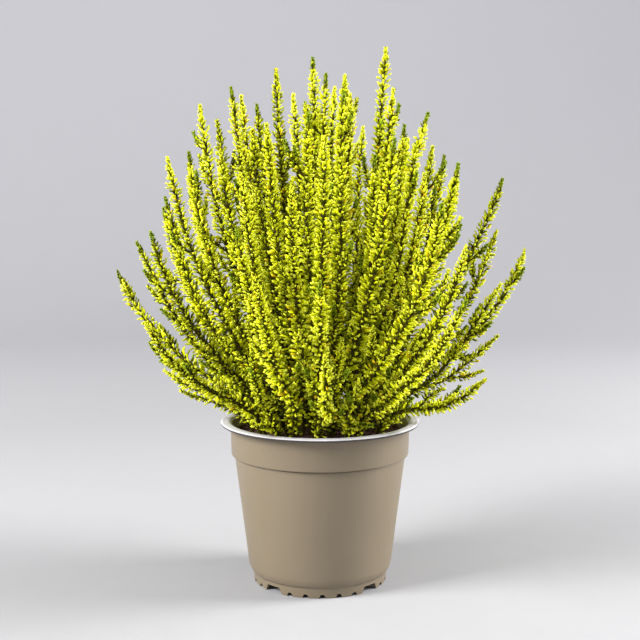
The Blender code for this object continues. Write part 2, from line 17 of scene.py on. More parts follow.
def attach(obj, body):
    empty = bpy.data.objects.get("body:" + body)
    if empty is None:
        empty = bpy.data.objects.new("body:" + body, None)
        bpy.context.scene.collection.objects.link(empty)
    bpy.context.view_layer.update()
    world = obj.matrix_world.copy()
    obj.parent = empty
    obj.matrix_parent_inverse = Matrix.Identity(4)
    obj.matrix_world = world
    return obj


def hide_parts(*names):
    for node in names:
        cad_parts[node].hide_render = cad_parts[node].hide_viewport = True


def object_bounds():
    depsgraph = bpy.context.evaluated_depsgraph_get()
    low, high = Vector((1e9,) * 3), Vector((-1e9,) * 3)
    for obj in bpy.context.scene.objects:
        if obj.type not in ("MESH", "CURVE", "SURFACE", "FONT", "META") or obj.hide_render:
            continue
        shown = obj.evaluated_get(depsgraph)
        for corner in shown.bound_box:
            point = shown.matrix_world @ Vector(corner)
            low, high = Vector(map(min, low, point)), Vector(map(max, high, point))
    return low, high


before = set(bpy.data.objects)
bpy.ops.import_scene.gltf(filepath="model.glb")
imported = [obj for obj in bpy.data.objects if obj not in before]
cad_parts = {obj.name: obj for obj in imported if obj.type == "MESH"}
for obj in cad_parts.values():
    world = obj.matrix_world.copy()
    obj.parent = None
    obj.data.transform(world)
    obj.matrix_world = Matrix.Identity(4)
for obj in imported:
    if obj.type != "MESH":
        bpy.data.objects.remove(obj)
CAD_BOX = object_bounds()

MM = 0.001

# Pot: a turned wall with a flange at the top, a collar, a tapered body and a foot ring
RIM_RADIUS = 55.0 * MM
POT_HEIGHT = 90.0 * MM
WALL = 1.0 * MM
FLANGE_WIDTH = 5.4 * MM
FLANGE_THICKNESS = 1.4 * MM
FLANGE_LIP_DROP = 0.3 * MM
FLANGE_ROUNDING = 0.8 * MM
COLLAR_HEIGHT = 18.5 * MM
COLLAR_TAPER = 0.5 * MM
STEP_WIDTH = 1.8 * MM
BODY_FOOT_RADIUS = 39.7 * MM
BODY_FOOT_Z = 9.5 * MM
SHOULDER_RADIUS = 38.4 * MM
SHOULDER_Z = 6.6 * MM
FOOT_RADIUS = 36.9 * MM
FOOT_TOP_RADIUS = 37.3 * MM
FOOT_TOP_Z = 5.6 * MM
FOOT_WALL = 1.5 * MM
FLOOR_Z = 4.6 * MM
FLOOR_THICKNESS = 1.2 * MM
COLLAR_TOP_RADIUS = RIM_RADIUS - FLANGE_WIDTH
COLLAR_FOOT_RADIUS = COLLAR_TOP_RADIUS - COLLAR_TAPER
COLLAR_FOOT_Z = POT_HEIGHT - COLLAR_HEIGHT
BODY_TOP_RADIUS = COLLAR_FOOT_RADIUS - STEP_WIDTH
FLOOR_TOP_Z = FLOOR_Z + FLOOR_THICKNESS

# Foot ring: a wide notch in each quarter, with small ones between, and drain holes in the floor
QUARTERS = 4
FIRST_WIDE_NOTCH_DEG = -43.0
WIDE_NOTCH_WIDTH = 12.0 * MM
WIDE_NOTCH_TOP_WIDTH = 8.5 * MM
WIDE_NOTCH_HEIGHT = 3.7 * MM
SMALL_NOTCHES = 5
SMALL_NOTCH_PITCH_DEG = 14.0
SMALL_NOTCH_WIDTH = 3.2 * MM
SMALL_NOTCH_HEIGHT = 2.1 * MM
SMALL_NOTCH_SHOULDER = 0.84 * MM
DRAIN_HOLES = 8
DRAIN_HOLE_RADIUS = 2.5 * MM
DRAIN_CIRCLE_RADIUS = 25.0 * MM
DRAIN_SIDES = 32
CUT_BELOW = -2.0 * MM

# Peat plug
FIT_GAP = 0.35 * MM
SOIL_EDGE_Z = 83.0 * MM
SOIL_CROWN = 1.5 * MM
SOIL_RELIEF = 0.7 * MM

# Habit of the plant: how a shoot leans and how long it is, by how far out its stem stands
SHOOTS = 100
PLANT_SEED = 4100
ROOT_CIRCLE_RADIUS = 41.0 * MM
GOLDEN_ANGLE = math.radians(137.508)
PAIR_REACH = 11.0 * MM
HABIT = (
    # share of the root circle's radius, lean at the soil, at the bend and at the tip, length
    (0.00, 2.0, 3.0, 1.0, 190.0),
    (0.35, 8.0, 10.0, 4.0, 186.0),
    (0.60, 14.0, 23.0, 8.0, 164.0),
    (0.80, 20.0, 40.0, 16.0, 142.0),
    (0.92, 24.0, 55.0, 26.0, 116.0),
    (1.00, 25.0, 80.0, 56.0, 64.0),
)
BEND_SHARE = 0.35
SHORT_EVERY = 3
SHORT_FROM_SHARE = 0.68
SHORT_LENGTH = 0.42
LENGTH_SPREAD = 0.08
LEAN_SPREAD = 0.08
SWIRL_SPREAD_DEG = 6.0
WOBBLE = 1.6 * MM
WOBBLE_TURNS = (0.6, 1.3)
ROOT_DEPTH = 12.0 * MM
FORK_HEIGHT = 9.0 * MM
FORK_BLEND = 34.0 * MM
FORK_FILLED = 26.0 * MM
PATH_STEP = 2.0 * MM

# Tips that stand clear of the others in the outline: across, away and above the rim, in mm
OUTLINE_TIPS = (
    (36, 10, 204), (-4, 5, 197), (13, -14, 186), (38, -25, 178), (46, 4, 161), (58, -20, 149),
    (69, 14, 145), (74, -6, 134), (97, 8, 104), (112, -2, 94), (97, -14, 76), (98, 2, 46),
    (76, -10, 20), (-24, 12, 192), (-42, -6, 176), (-56, 10, 164), (-70, -10, 146), (-85, 6, 122),
    (-99, -6, 98), (-112, 4, 82), (-93, 0, 44), (-75, -8, 18), (0, -106, 84), (4, 106, 90),
)

# Room between shoots
SPACING = 10.5 * MM
SPACING_ROUNDS = 14
SPACING_FREE_FROM = 55.0 * MM
SPACING_SMOOTH_STEPS = 7
LEAST_GAP = 0.1 * MM
OUTLINE_HOLD = 0.2
CLEARANCE = 0.6 * MM

# Woody stems
STEM_RADIUS = 1.3 * MM
STEM_TIP_RADIUS = 0.35 * MM
STEM_TAPER_LENGTH = 45.0 * MM
STEM_SIDES = 6
STEM_PITCH = 3.0 * MM
STEM_KNOTS = 0.14
SIDE_STEM_START = 2.0 * MM
TIP_RADIUS = 1.2 * MM
COLUMN_GROWTH = 5.0 * MM
COLUMN_LENGTH = 20.0 * MM

# Leaves: whorls along a shoot, closer and pressed to the stem near the tip
LEAFY_FROM_SOIL = 5.0 * MM
LEAFY_INNER = 148.0 * MM
LEAFY_OUTER = 160.0 * MM
LEAFY_INNER_SHARE = 0.4
LEAFY_OUTER_SHARE = 0.8
LEAF_SEED = PLANT_SEED + 2000
BARK_SEED = LEAF_SEED + 500
SCALE_SEED = LEAF_SEED + 1000
SIDE_SHOOT_SEED = LEAF_SEED + 2000
WHORL_LEAVES = 6
WHORL_PITCHES = (0.90 * MM, 1.85 * MM, 2.45 * MM)
WHORL_TWIST = math.radians(34.0)
WHORL_JITTER = 0.25
TOP_WHORL_DROP = 0.4 * MM
TOP_LEAF_DROP = 0.2 * MM
SPREAD_LENGTH = 16.0 * MM
LEAF_LEAN_BASE_DEG = (22.0, 62.0, 72.0)
LEAF_LEAN_END_DEG = (8.0, 46.0, 54.0)
LEAF_LEAN_SPREAD_DEG = 14.0
LEAF_AGES_FROM = 30.0 * MM
LEAF_AGES_OVER = 60.0 * MM
LEAF_LEAST_LEAN_DEG = 8.0
LEAF_LENGTHS = (1.9 * MM, 4.4 * MM, 6.2 * MM)
LEAF_LENGTH_SPREAD = 0.14
LEAF_REACH_OVER = 1.2 * MM
LEAF_REACH_LEAST = 3.3 * MM
LEAF_STATIONS = (0.0, 0.32, 0.80, 1.0)
LEAF_HALF_WIDTHS = (0.45 * MM, 0.78 * MM)
LEAF_WIDTH_SHARES = (0.60, 1.0, 1.22)
LEAF_WIDTH_SPREAD = 0.15
LEAF_ROOT_SHARE = 0.7
LEAF_FLATNESS = 0.80
LEAF_SIDES = 3
LEAF_TURN_SPREAD = 0.20
LEAF_SWAY = 0.25
CLUMP_LENGTHS = (6.0 * MM, 9.5 * MM, 17.0 * MM)
CLUMP_DEPTH = 0.11
CLUMP_TONE = 0.03

# Side shoots: short pointed ones that leave a shoot between its leaves
SIDE_SHOOT_LENGTHS = (15.0 * MM, 25.0 * MM)
SIDE_SHOOT_GAPS = (14.0 * MM, 38.0 * MM)
SIDE_SHOOT_LEANS_DEG = (42.0, 14.0)
SIDE_SHOOT_LEAN_SPREAD_DEG = 8.0
SIDE_SHOOT_TIP_SPACE = 1.2
SIDE_SHOOT_NUMBERS = 1000

# Scale leaves pressed to the stem between the others
SCALES_AROUND = 3
SCALE_PITCH = 2.1 * MM
SCALE_LENGTH = 2.9 * MM
SCALE_HALF_WIDTH = 0.95 * MM
SCALE_KEEL = 0.40 * MM
SCALE_LIFT = 0.75 * MM
SCALE_JITTER = 0.3
SCALE_SIZES = (0.75, 1.15)
SCALE_ROOT_SHARE = 0.75
SCALE_KEEL_SHARE = 0.3
SCALE_MAP_SIDES = (-1.0, 1.0, 0.0, 0.0)
SCALE_MAP_PLACES = (0.12, 0.12, 0.4, 0.8)

# Where a spray's faces lie on its map: bark in a strip at the left, leaves by tone in the rest
MAP_NAME = "OFBake"
BARK_WIDTH = 0.10
BARK_MAP_MARGIN = 0.05
LEAF_MAP_START = 0.14
LEAF_MAP_HALF_WIDTH = 0.008

# Leaf tones, from old dark green through lime to orange
TONE_LEAST = 0.02
TONE_MOST = 0.98
TONE_LIME = 0.55
TONE_SPREAD = 0.11
SHOOT_TONE_SPREAD = 0.07
TONE_OLD = 0.24
TONE_OLD_SPREAD = 0.06
TONE_GREEN_TIP = 0.05
TONE_SCALE = 0.33
TONE_SCALE_SPREAD = 0.07
TONE_SCALE_MOST = 0.5
TONE_ORANGE = 0.92
TONE_ORANGE_SPREAD = 0.03
OLD_SHARE_LOW = 0.45
OLD_FADES_OVER = 42.0 * MM
ORANGE_SHARE = 0.035
GREEN_TIP_SHARE = 0.40
GREEN_TIP_LENGTH = 7.0 * MM


# Growth of the plant


def smooth(t):
    t = np.clip(t, 0.0, 1.0)
    return t * t * (3.0 - 2.0 * t)


def soil_height(reach):
    """Height of the peat's smooth surface at this distance from the axis."""
    return SOIL_EDGE_Z + SOIL_CROWN * (1.0 - (reach / ROOT_CIRCLE_RADIUS) ** 2)


def habit(share):
    """Lean at the soil, at the bend and at the tip, and length, at this share of the root circle."""
    shares, *columns = zip(*HABIT)
    start, bend, tip, length = (float(np.interp(share, shares, column)) for column in columns)
    return math.radians(start), math.radians(bend), math.radians(tip), length * MM


def seed_places():
    """A place in the root circle for each shoot, on a sunflower's spiral."""
    places = []
    for k in range(SHOOTS):
        reach = ROOT_CIRCLE_RADIUS * math.sqrt((k + 0.5) / SHOOTS)
        turn = k * GOLDEN_ANGLE
        places.append(np.array((reach * math.cos(turn), reach * math.sin(turn))))
    return places


def share_stems(places):
    """Groups of one or two neighbours that share a woody stem, from the outside in."""
    free = list(range(len(places)))[::-1]
    groups = []
    while free:
        first = free.pop(0)
        near = sorted(free, key=lambda k: np.linalg.norm(places[k] - places[first]))
        if near and np.linalg.norm(places[near[0]] - places[first]) < PAIR_REACH:
            free.remove(near[0])
            groups.append((first, near[0]))
        else:
            groups.append((first,))
    return groups


def draws_for(k, share):
    """Shoot k's own length and lean factors, swirl, and wobble turns and phase."""
    chance = random.Random(PLANT_SEED + k)
    is_short = share > SHORT_FROM_SHARE and k % SHORT_EVERY == 0
    return (
        (SHORT_LENGTH if is_short else 1.0) * (1.0 + LENGTH_SPREAD * chance.uniform(-1.0, 1.0)),
        1.0 + LEAN_SPREAD * chance.uniform(-1.0, 1.0),
        math.radians(SWIRL_SPREAD_DEG) * chance.uniform(-1.0, 1.0),
        chance.uniform(*WOBBLE_TURNS),
        chance.uniform(0.0, math.tau),
    )


def flow_line(place, draws):
    """Points of a shoot from the soil up, a path step apart, from this place in the root circle."""
    length_factor, lean_factor, swirl, wobble_turns, wobble_phase = draws
    reach = float(np.hypot(*place))
    start, bend, tip, length = habit(reach / ROOT_CIRCLE_RADIUS)
    length *= length_factor
    along = np.arange(int(length / PATH_STEP) + 1) * PATH_STEP
    bend_at = BEND_SHARE * length
    first_part = start + (bend - start) * smooth(along / bend_at)
    second_part = bend + (tip - bend) * smooth((along - bend_at) / (length - bend_at))
    lean = np.where(along < bend_at, first_part, second_part) * lean_factor
    out = reach + PATH_STEP * np.concatenate([[0.0], np.cumsum(np.sin(lean[:-1]))])
    rise = PATH_STEP * np.concatenate([[0.0], np.cumsum(np.cos(lean[:-1]))])
    grown = smooth(along / length)
    heading = math.atan2(place[1], place[0]) + swirl * grown
    side = WOBBLE * np.sin(wobble_turns * math.tau * along / length + wobble_phase) * grown
    x = out * np.cos(heading) - side * np.sin(heading)
    y = out * np.sin(heading) + side * np.cos(heading)
    return np.stack([x, y, soil_height(reach) + rise], axis=1)


def shoot_path(place, root, draws):
    """A shoot's line from its root's end up: along the shared stem, then out of the fork."""
    own = flow_line(place, draws)
    shared = flow_line(root, (draws[0], 1.0, 0.0, 1.0, 0.0))
    spare = max(len(own) - len(shared), 0)
    shared = np.concatenate([shared, np.repeat(shared[-1:], spare, axis=0)])[: len(own)]
    along = np.arange(len(own)) * PATH_STEP
    away = smooth((along - FORK_HEIGHT) / FORK_BLEND)[:, None]
    line = shared * (1.0 - away) + own * away
    start = line[1] - line[0]
    start /= np.linalg.norm(start)
    depths = np.arange(int(round(ROOT_DEPTH / PATH_STEP)), 0, -1)[:, None] * PATH_STEP
    return np.concatenate([line[0] - depths * start, line])


def above_soil(path):
    """Distance along the path from the soil's surface, below it counted as negative."""
    return np.arange(len(path)) * PATH_STEP - ROOT_DEPTH


def below_tip(path):
    """Distance along the path up to its tip."""
    return (len(path) - 1 - np.arange(len(path))) * PATH_STEP


def draw_outline(shoots):
    """Bend the shoots whose tips are nearest to the outline's tips so that they end there."""
    free = list(shoots)
    for across, away, above in OUTLINE_TIPS:
        goal = np.array((across * MM, away * MM, POT_HEIGHT + above * MM))
        nearest = min(free, key=lambda shoot: np.linalg.norm(shoot["path"][-1] - goal))
        free = [shoot for shoot in free if shoot is not nearest]
        path = nearest["path"]
        along = above_soil(path) - FORK_HEIGHT
        nearest["path"] = path + smooth(along / along[-1])[:, None] * (goal - path[-1])
        nearest["hold"] = OUTLINE_HOLD


def smoothed(values):
    """A running mean along a path that keeps its length."""
    width = SPACING_SMOOTH_STEPS
    padded = np.pad(values, ((width, width), (0, 0)), mode="edge")
    sums = np.cumsum(np.concatenate([np.zeros((1, 3)), padded]), axis=0)
    return (sums[2 * width + 1 :] - sums[: -2 * width - 1]) / (2 * width + 1)


def make_room(shoots):
    """Push shoots that come closer than the spacing apart, more so the higher they are."""
    for _ in range(SPACING_ROUNDS):
        points = np.concatenate([shoot["path"] for shoot in shoots])
        owners = np.concatenate([np.full(len(s["path"]), k) for k, s in enumerate(shoots)])
        moved = []
        for k, shoot in enumerate(shoots):
            path = shoot["path"]
            apart = path[:, None, :] - points[None, owners != k, :]
            distance = np.linalg.norm(apart, axis=2)
            nearest = np.argmin(distance, axis=1)
            rows = np.arange(len(path))
            gap = np.maximum(distance[rows, nearest], LEAST_GAP)
            push = np.maximum(SPACING - gap, 0.0) / gap / 2
            free = smooth((above_soil(path) - FORK_HEIGHT) / SPACING_FREE_FROM) * shoot["hold"]
            moved.append(smoothed(apart[rows, nearest] * push[:, None]) * free[:, None])
        for shoot, step in zip(shoots, moved):
            shoot["path"] = shoot["path"] + step


def grow():
    """The sprays, each a list of one or two shoots with their paths and place in the circle."""
    places = seed_places()
    sprays = []
    for group in share_stems(places):
        root = sum(places[k] for k in group) / len(group)
        spray = []
        for k in group:
            share = float(np.hypot(*places[k])) / ROOT_CIRCLE_RADIUS
            path = shoot_path(places[k], root, draws_for(k, share))
            spray.append({"index": k, "share": share, "path": path, "hold": 1.0})
        sprays.append(spray)
    shoots = [shoot for spray in sprays for shoot in spray]
    draw_outline(shoots)
    make_room(shoots)
    for spray in sprays:
        for shoot in spray:
            shoot["radius"] = free_radius(shoot, spray, sprays)
    return sprays


def room_in_pot(path):
    """Distance from each point to the soil and the rim."""
    reach = np.hypot(path[:, 0], path[:, 1])
    over_soil = path[:, 2] - soil_height(np.minimum(reach, ROOT_CIRCLE_RADIUS)) - SOIL_RELIEF
    over_soil = np.where(reach < COLLAR_TOP_RADIUS, over_soil, RIM_RADIUS)
    beside_rim = np.maximum(COLLAR_TOP_RADIUS - WALL - reach, reach - RIM_RADIUS)
    over_rim = np.maximum(path[:, 2] - POT_HEIGHT, 0.0)
    return np.minimum(over_soil, np.hypot(np.maximum(beside_rim, 0.0), over_rim))


def free_radius(shoot, spray, sprays):
    """The column's outer radius at each path point: its natural one, or what its neighbours leave."""
    path = shoot["path"]
    others = np.concatenate([s["path"] for group in sprays if group is not spray for s in group])
    gap = np.linalg.norm(path[:, None, :] - others[None, :, :], axis=2).min(axis=1)
    room = np.minimum((gap - CLEARANCE) / 2, room_in_pot(path) - CLEARANCE)
    natural = natural_radius(below_tip(path))
    if shoot is not spray[0]:
        main = spray[0]
        apart = np.linalg.norm(path[:, None, :] - main["path"][None, :, :], axis=2)
        clear = (apart - main["radius"][None, :]).min(axis=1) - CLEARANCE
        in_fork = 1.0 - smooth((above_soil(path) - FORK_HEIGHT) / FORK_FILLED)
        room = np.minimum(room, np.maximum(clear, natural * in_fork))
    return np.minimum(natural, room)


def frames(path):
    """A tangent and two sideways directions at each path point, without twist along the path."""
    tangents = unit(np.gradient(path, axis=0))
    side = np.cross(tangents[0], (0.0, 1.0, 0.0))
    sides = []
    for tangent in tangents:
        side = side - tangent * np.dot(side, tangent)
        side = side / np.linalg.norm(side)
        sides.append(side)
    sides = np.array(sides)
    return tangents, sides, np.cross(tangents, sides)


# Meshes


def in_scene(name, data):
    """A new object with this data, in the scene."""
    obj = bpy.data.objects.new(name, data)
    bpy.context.scene.collection.objects.link(obj)
    return obj


def unit(vectors):
    return vectors / np.linalg.norm(vectors, axis=1)[:, None]


def triangle_object(name, points, triangles, finish_of_face, finishes):
    """A smooth object from points, triangles and the number of each triangle's finish."""
    mesh = bpy.data.meshes.new(name)
    mesh.vertices.add(len(points))
    mesh.vertices.foreach_set("co", points.astype(np.float32).ravel())
    mesh.loops.add(3 * len(triangles))
    mesh.loops.foreach_set("vertex_index", triangles.astype(np.int32).ravel())
    mesh.polygons.add(len(triangles))
    mesh.polygons.foreach_set("loop_start", np.arange(0, 3 * len(triangles), 3, dtype=np.int32))
    mesh.polygons.foreach_set("material_index", finish_of_face.astype(np.int32))
    mesh.update(calc_edges=True)
    mesh.shade_smooth()
    for finish in finishes:
        mesh.materials.append(finish)
    return in_scene(name, mesh)


def joined(shapes):
    """Several shapes as one: each has points, triangles and an array on its faces or corners."""
    points, triangles, extras = zip(*shapes)
    starts = np.cumsum([0, *(len(own) for own in points)])
    triangles = [own + start for own, start in zip(triangles, starts)]
    return np.concatenate(points), np.concatenate(triangles), np.concatenate(extras)


def ring(radius, z, segments, centre=(0.0, 0.0)):
    """Points of a level circle."""
    turns = [math.tau * k / segments for k in range(segments)]
    return [(centre[0] + radius * math.cos(a), centre[1] + radius * math.sin(a), z) for a in turns]


def turned_faces(rings, segments):
    """Faces around an axis, each with the ring it starts from.

    Point 0 is where the axis comes in, then come the rings, and the last point is where it leaves.
    """
    faces = []
    last = 1 + (rings - 1) * segments
    for k in range(segments):
        after = (k + 1) % segments
        faces.append((0, (0, 1 + after, 1 + k)))
        for number in range(rings - 1):
            low = 1 + number * segments
            high = low + segments
            faces.append((number, (low + k, low + after, high + after, high + k)))
        faces.append((rings - 1, (last + k, last + after, last + segments)))
    return faces


# Stems and leaves


def read_line(shoot, distance):
    """Points, tangents and two sideways directions of a shoot at these distances above the soil."""
    above = above_soil(shoot["path"])
    columns = np.concatenate([shoot["path"], *frames(shoot["path"])], axis=1)
    values = np.stack([np.interp(distance, above, column) for column in columns.T], axis=1)
    return values[:, 0:3], values[:, 3:6], values[:, 6:9], values[:, 9:12]


def around_line(shoot, distance, turn):
    """Points and tangents at these distances, and the ways outward and sideways at these turns."""
    centre, tangent, first, second = read_line(shoot, distance)
    outward = np.cos(turn)[:, None] * first + np.sin(turn)[:, None] * second
    return centre, tangent, outward, np.cross(tangent, outward)


def varied(chance, spread, count):
    """Random factors around 1."""
    return chance.uniform(1 - spread, 1 + spread, count)


def stem_radius(from_tip):
    grown = 1.0 - np.exp(-from_tip / STEM_TAPER_LENGTH)
    return STEM_TIP_RADIUS + (STEM_RADIUS - STEM_TIP_RADIUS) * grown


def natural_radius(from_tip):
    """Radius of a shoot's column of leaves where nothing is in its way."""
    return TIP_RADIUS + COLUMN_GROWTH * (1.0 - np.exp(-from_tip / COLUMN_LENGTH))


def side_shoots(shoot, is_main):
    """Short shoots that leave this one, each with a path that starts along its parent's."""
    chance = np.random.default_rng(SIDE_SHOOT_SEED + shoot["index"])
    top = above_soil(shoot["path"])[-1]
    level = leafy_start(shoot, is_main) + SIDE_SHOOT_GAPS[1] * chance.random()
    depths = np.arange(int(round(ROOT_DEPTH / PATH_STEP)), -1, -1) * PATH_STEP
    made = []
    while True:
        length = between(SIDE_SHOOT_LENGTHS, chance.random())
        turn = math.tau * chance.random()
        spread_deg = SIDE_SHOOT_LEAN_SPREAD_DEG * chance.uniform(-1.0, 1.0)
        if level + SIDE_SHOOT_TIP_SPACE * length > top:
            return made
        below, tangent, first, second = read_line(shoot, level - depths)
        outward = math.cos(turn) * first[-1] + math.sin(turn) * second[-1]
        along = np.arange(1, int(length / PATH_STEP) + 1) * PATH_STEP
        lean = np.radians(between(SIDE_SHOOT_LEANS_DEG, smooth(along / length)) + spread_deg)[:, None]
        moves = PATH_STEP * (np.sin(lean) * outward + np.cos(lean) * tangent[-1])
        path = np.concatenate([below, below[-1] + np.cumsum(moves, axis=0)])
        number = SIDE_SHOOT_NUMBERS * (len(made) + 1) + shoot["index"]
        radius = natural_radius(below_tip(path))
        made.append({"index": number, "share": shoot["share"], "path": path, "radius": radius})
        level += between(SIDE_SHOOT_GAPS, chance.random())


def bark_tube(shoot, is_main, strip, width):
    """A shoot's stem as a closed tube, with the knots of its leaf scars."""
    chance = np.random.default_rng(BARK_SEED + shoot["index"])
    top = above_soil(shoot["path"])[-1]
    bottom = -SIDE_STEM_START if is_main else FORK_HEIGHT - SIDE_STEM_START
    levels = np.linspace(bottom, top, int((top - bottom) / STEM_PITCH) + 1)
    radius = stem_radius(top - levels) * varied(chance, STEM_KNOTS, len(levels))
    turns = np.tile(math.tau * np.arange(STEM_SIDES) / STEM_SIDES, len(levels))
    centre, tangent, outward, _ = around_line(shoot, np.repeat(levels, STEM_SIDES), turns)
    rings = centre + np.repeat(radius, STEM_SIDES)[:, None] * outward
    points = np.concatenate([rings, centre[:1], centre[-1:] + radius[-1] * tangent[-1:]])
    row, side = np.divmod(np.arange((len(levels) - 1) * STEM_SIDES), STEM_SIDES)
    corners = [(side, row), (side + 1, row), (side + 1, row + 1)]
    corners += [(side, row), (side + 1, row + 1), (side, row + 1)]
    walls = np.stack([v * STEM_SIDES + u % STEM_SIDES for u, v in corners], axis=1).reshape(-1, 3)
    wall_places = np.stack([np.stack(corner, axis=1) for corner in corners], axis=1).reshape(-1, 2)
    wall_places = wall_places / (STEM_SIDES, len(levels))
    sides = np.arange(STEM_SIDES)
    after = (sides + 1) % STEM_SIDES
    last = (len(levels) - 1) * STEM_SIDES
    foot = np.stack([after, sides, np.full(STEM_SIDES, len(points) - 2)], axis=1)
    head = np.stack([last + sides, last + after, np.full(STEM_SIDES, len(points) - 1)], axis=1)
    cap_u = np.stack([sides, sides + 1, sides + 0.5], axis=1) / STEM_SIDES
    cap_v = np.broadcast_to((0.0, 0.0, 0.5 / len(levels)), cap_u.shape)
    foot_places = np.stack([cap_u, cap_v], axis=2).reshape(-1, 2)
    head_places = foot_places + (0.0, 1.0 - 1.0 / len(levels))
    places = np.concatenate([wall_places, foot_places, head_places])
    margin = BARK_MAP_MARGIN * width
    places = places * (width - 2 * margin, 1.0) + (strip * width + margin, 0.0)
    return points, np.concatenate([walls, foot, head]), places


def leafy_start(shoot, is_main):
    """Where the leaves begin, as a distance above the soil."""
    top = above_soil(shoot["path"])[-1]
    outward = (shoot["share"] - LEAFY_INNER_SHARE) / (LEAFY_OUTER_SHARE - LEAFY_INNER_SHARE)
    wanted = LEAFY_INNER + (LEAFY_OUTER - LEAFY_INNER) * smooth(outward)
    return max(top - wanted, LEAFY_FROM_SOIL + (0.0 if is_main else FORK_HEIGHT))


def whorl_levels(start, top):
    """Distances above the soil of the whorls, closer together near the tip."""
    levels = [top - TOP_WHORL_DROP]
    while levels[-1] > start:
        levels.append(levels[-1] - staged(WHORL_PITCHES, growth_stage(top - levels[-1])))
    return np.array(levels[:-1])


def between(ends, share):
    return ends[0] + (ends[1] - ends[0]) * share


def growth_stage(from_tip):
    """How far the leaves at this distance from the tip have opened, and how old they are."""
    return smooth(from_tip / SPREAD_LENGTH), smooth((from_tip - LEAF_AGES_FROM) / LEAF_AGES_OVER)


def staged(stages, stage):
    """A measure of the leaves from its values when young, when opened and when old."""
    opened, aged = stage
    return between((between(stages[:2], opened), stages[2]), aged)


def clumps(chance, level, turn):
    """Waves along and around a shoot that make its leaves longer in some places than in others."""
    total = 0.0
    for length in CLUMP_LENGTHS:
        around, phase = chance.integers(1, 3), chance.uniform(0.0, math.tau)
        total = total + np.sin(math.tau * level / length + around * turn + phase)
    return total


def leaf_tones(chance, level, from_tip):
    """A tone for each leaf: mostly lime, with old green ones low down, green tips and a few orange."""
    count = len(level)
    tone = TONE_LIME + chance.normal(0.0, TONE_SPREAD, count) + chance.normal(0.0, SHOOT_TONE_SPREAD)
    old = chance.random(count) < OLD_SHARE_LOW * np.exp(-level / OLD_FADES_OVER)
    tone = np.where(old, TONE_OLD + TONE_OLD_SPREAD * chance.normal(size=count), tone)
    orange = chance.random(count) < ORANGE_SHARE
    tone = np.where(orange, TONE_ORANGE + TONE_ORANGE_SPREAD * chance.normal(size=count), tone)
    if chance.random() < GREEN_TIP_SHARE:
        at_tip = 1.0 - smooth((from_tip - 0.5 * GREEN_TIP_LENGTH) / GREEN_TIP_LENGTH)
        tone = tone + (TONE_GREEN_TIP - tone) * at_tip
    return tone


def leaves(shoot, is_main):
    """All the leaves of a shoot: small closed spindles that stand out from the stem and point up."""
    chance = np.random.default_rng(LEAF_SEED + shoot["index"])
    top = above_soil(shoot["path"])[-1]
    whorls = whorl_levels(leafy_start(shoot, is_main), top)
    count = WHORL_LEAVES * len(whorls)
    whorl = np.repeat(np.arange(len(whorls)), WHORL_LEAVES)
    number = np.tile(np.arange(WHORL_LEAVES), len(whorls))
    level = whorls[whorl] + WHORL_JITTER * WHORL_PITCHES[1] * chance.uniform(-1, 1, count)
    level = np.minimum(level, top - TOP_LEAF_DROP)
    from_tip = top - level
    stage = growth_stage(from_tip)
    turn = math.tau * number / WHORL_LEAVES + whorl * WHORL_TWIST
    turn = turn + LEAF_TURN_SPREAD * chance.normal(size=count)
    centre, tangent, outward, sideways = around_line(shoot, level, turn)
    free = np.interp(level, above_soil(shoot["path"]), shoot["radius"])
    natural = natural_radius(from_tip)
    reach = np.minimum(np.maximum(free + LEAF_REACH_OVER, LEAF_REACH_LEAST), natural + LEAF_REACH_OVER)
    clump = clumps(chance, level, turn)
    reach = reach * (1.0 - CLUMP_DEPTH + CLUMP_DEPTH * clump)
    spread_deg = LEAF_LEAN_SPREAD_DEG * chance.normal(size=count)
    leans = [lean_angles(angles, stage, spread_deg) for angles in (LEAF_LEAN_BASE_DEG, LEAF_LEAN_END_DEG)]
    start = LEAF_ROOT_SHARE * stem_radius(from_tip)
    length = (reach - start) / np.sin(sum(leans) / 2)
    length = np.minimum(length, staged(LEAF_LENGTHS, stage))
    length = length * chance.uniform(1 - 2 * LEAF_LENGTH_SPREAD, 1, count)
    width = staged(LEAF_WIDTH_SHARES, stage) * varied(chance, LEAF_WIDTH_SPREAD, count)
    sway = LEAF_SWAY * chance.normal(size=count)[:, None] * sideways
    base = centre + start[:, None] * outward
    points = spindles(base, (tangent, outward, sideways), leans, length, width, sway)
    tone = leaf_tones(chance, level, from_tip) + CLUMP_TONE * clump
    tone = np.clip(tone, TONE_LEAST, TONE_MOST)
    sides = [side for side, _ in LEAF_SECTION]
    along = np.repeat(LEAF_STATIONS, (1, LEAF_SIDES, LEAF_SIDES, 1))
    return repeated(points, LEAF_TRIANGLES, tone, (0.0, *sides, *sides, 0.0), along)


def spindles(base, ways, leans, length, width, sway):
    """Points of each leaf: its base, two rings around its curved middle line, and its tip."""
    tangent, outward, sideways = ways
    middle, rings = base, []
    for low, high, half_width in zip(LEAF_STATIONS, LEAF_STATIONS[1:], (*LEAF_HALF_WIDTHS, 0.0)):
        lean = between(leans, (low + high) / 2)[:, None]
        onward = np.sin(lean) * outward + np.cos(lean) * tangent + sway
        middle = middle + (high - low) * length[:, None] * onward
        across = np.cos(lean) * outward - np.sin(lean) * tangent
        half = (half_width * width)[:, None]
        for side, lift in LEAF_SECTION:
            rings.append(middle + side * half * sideways + lift * LEAF_FLATNESS * half * across)
    return np.stack([base, *rings[: 2 * LEAF_SIDES], middle], axis=1)


def lean_angles(stages_deg, stage, spread_deg):
    """A leaf's lean: pressed to the stem when young, then opened, then nearly square to it."""
    return np.radians(np.maximum(staged(stages_deg, stage) + spread_deg, LEAF_LEAST_LEAN_DEG))


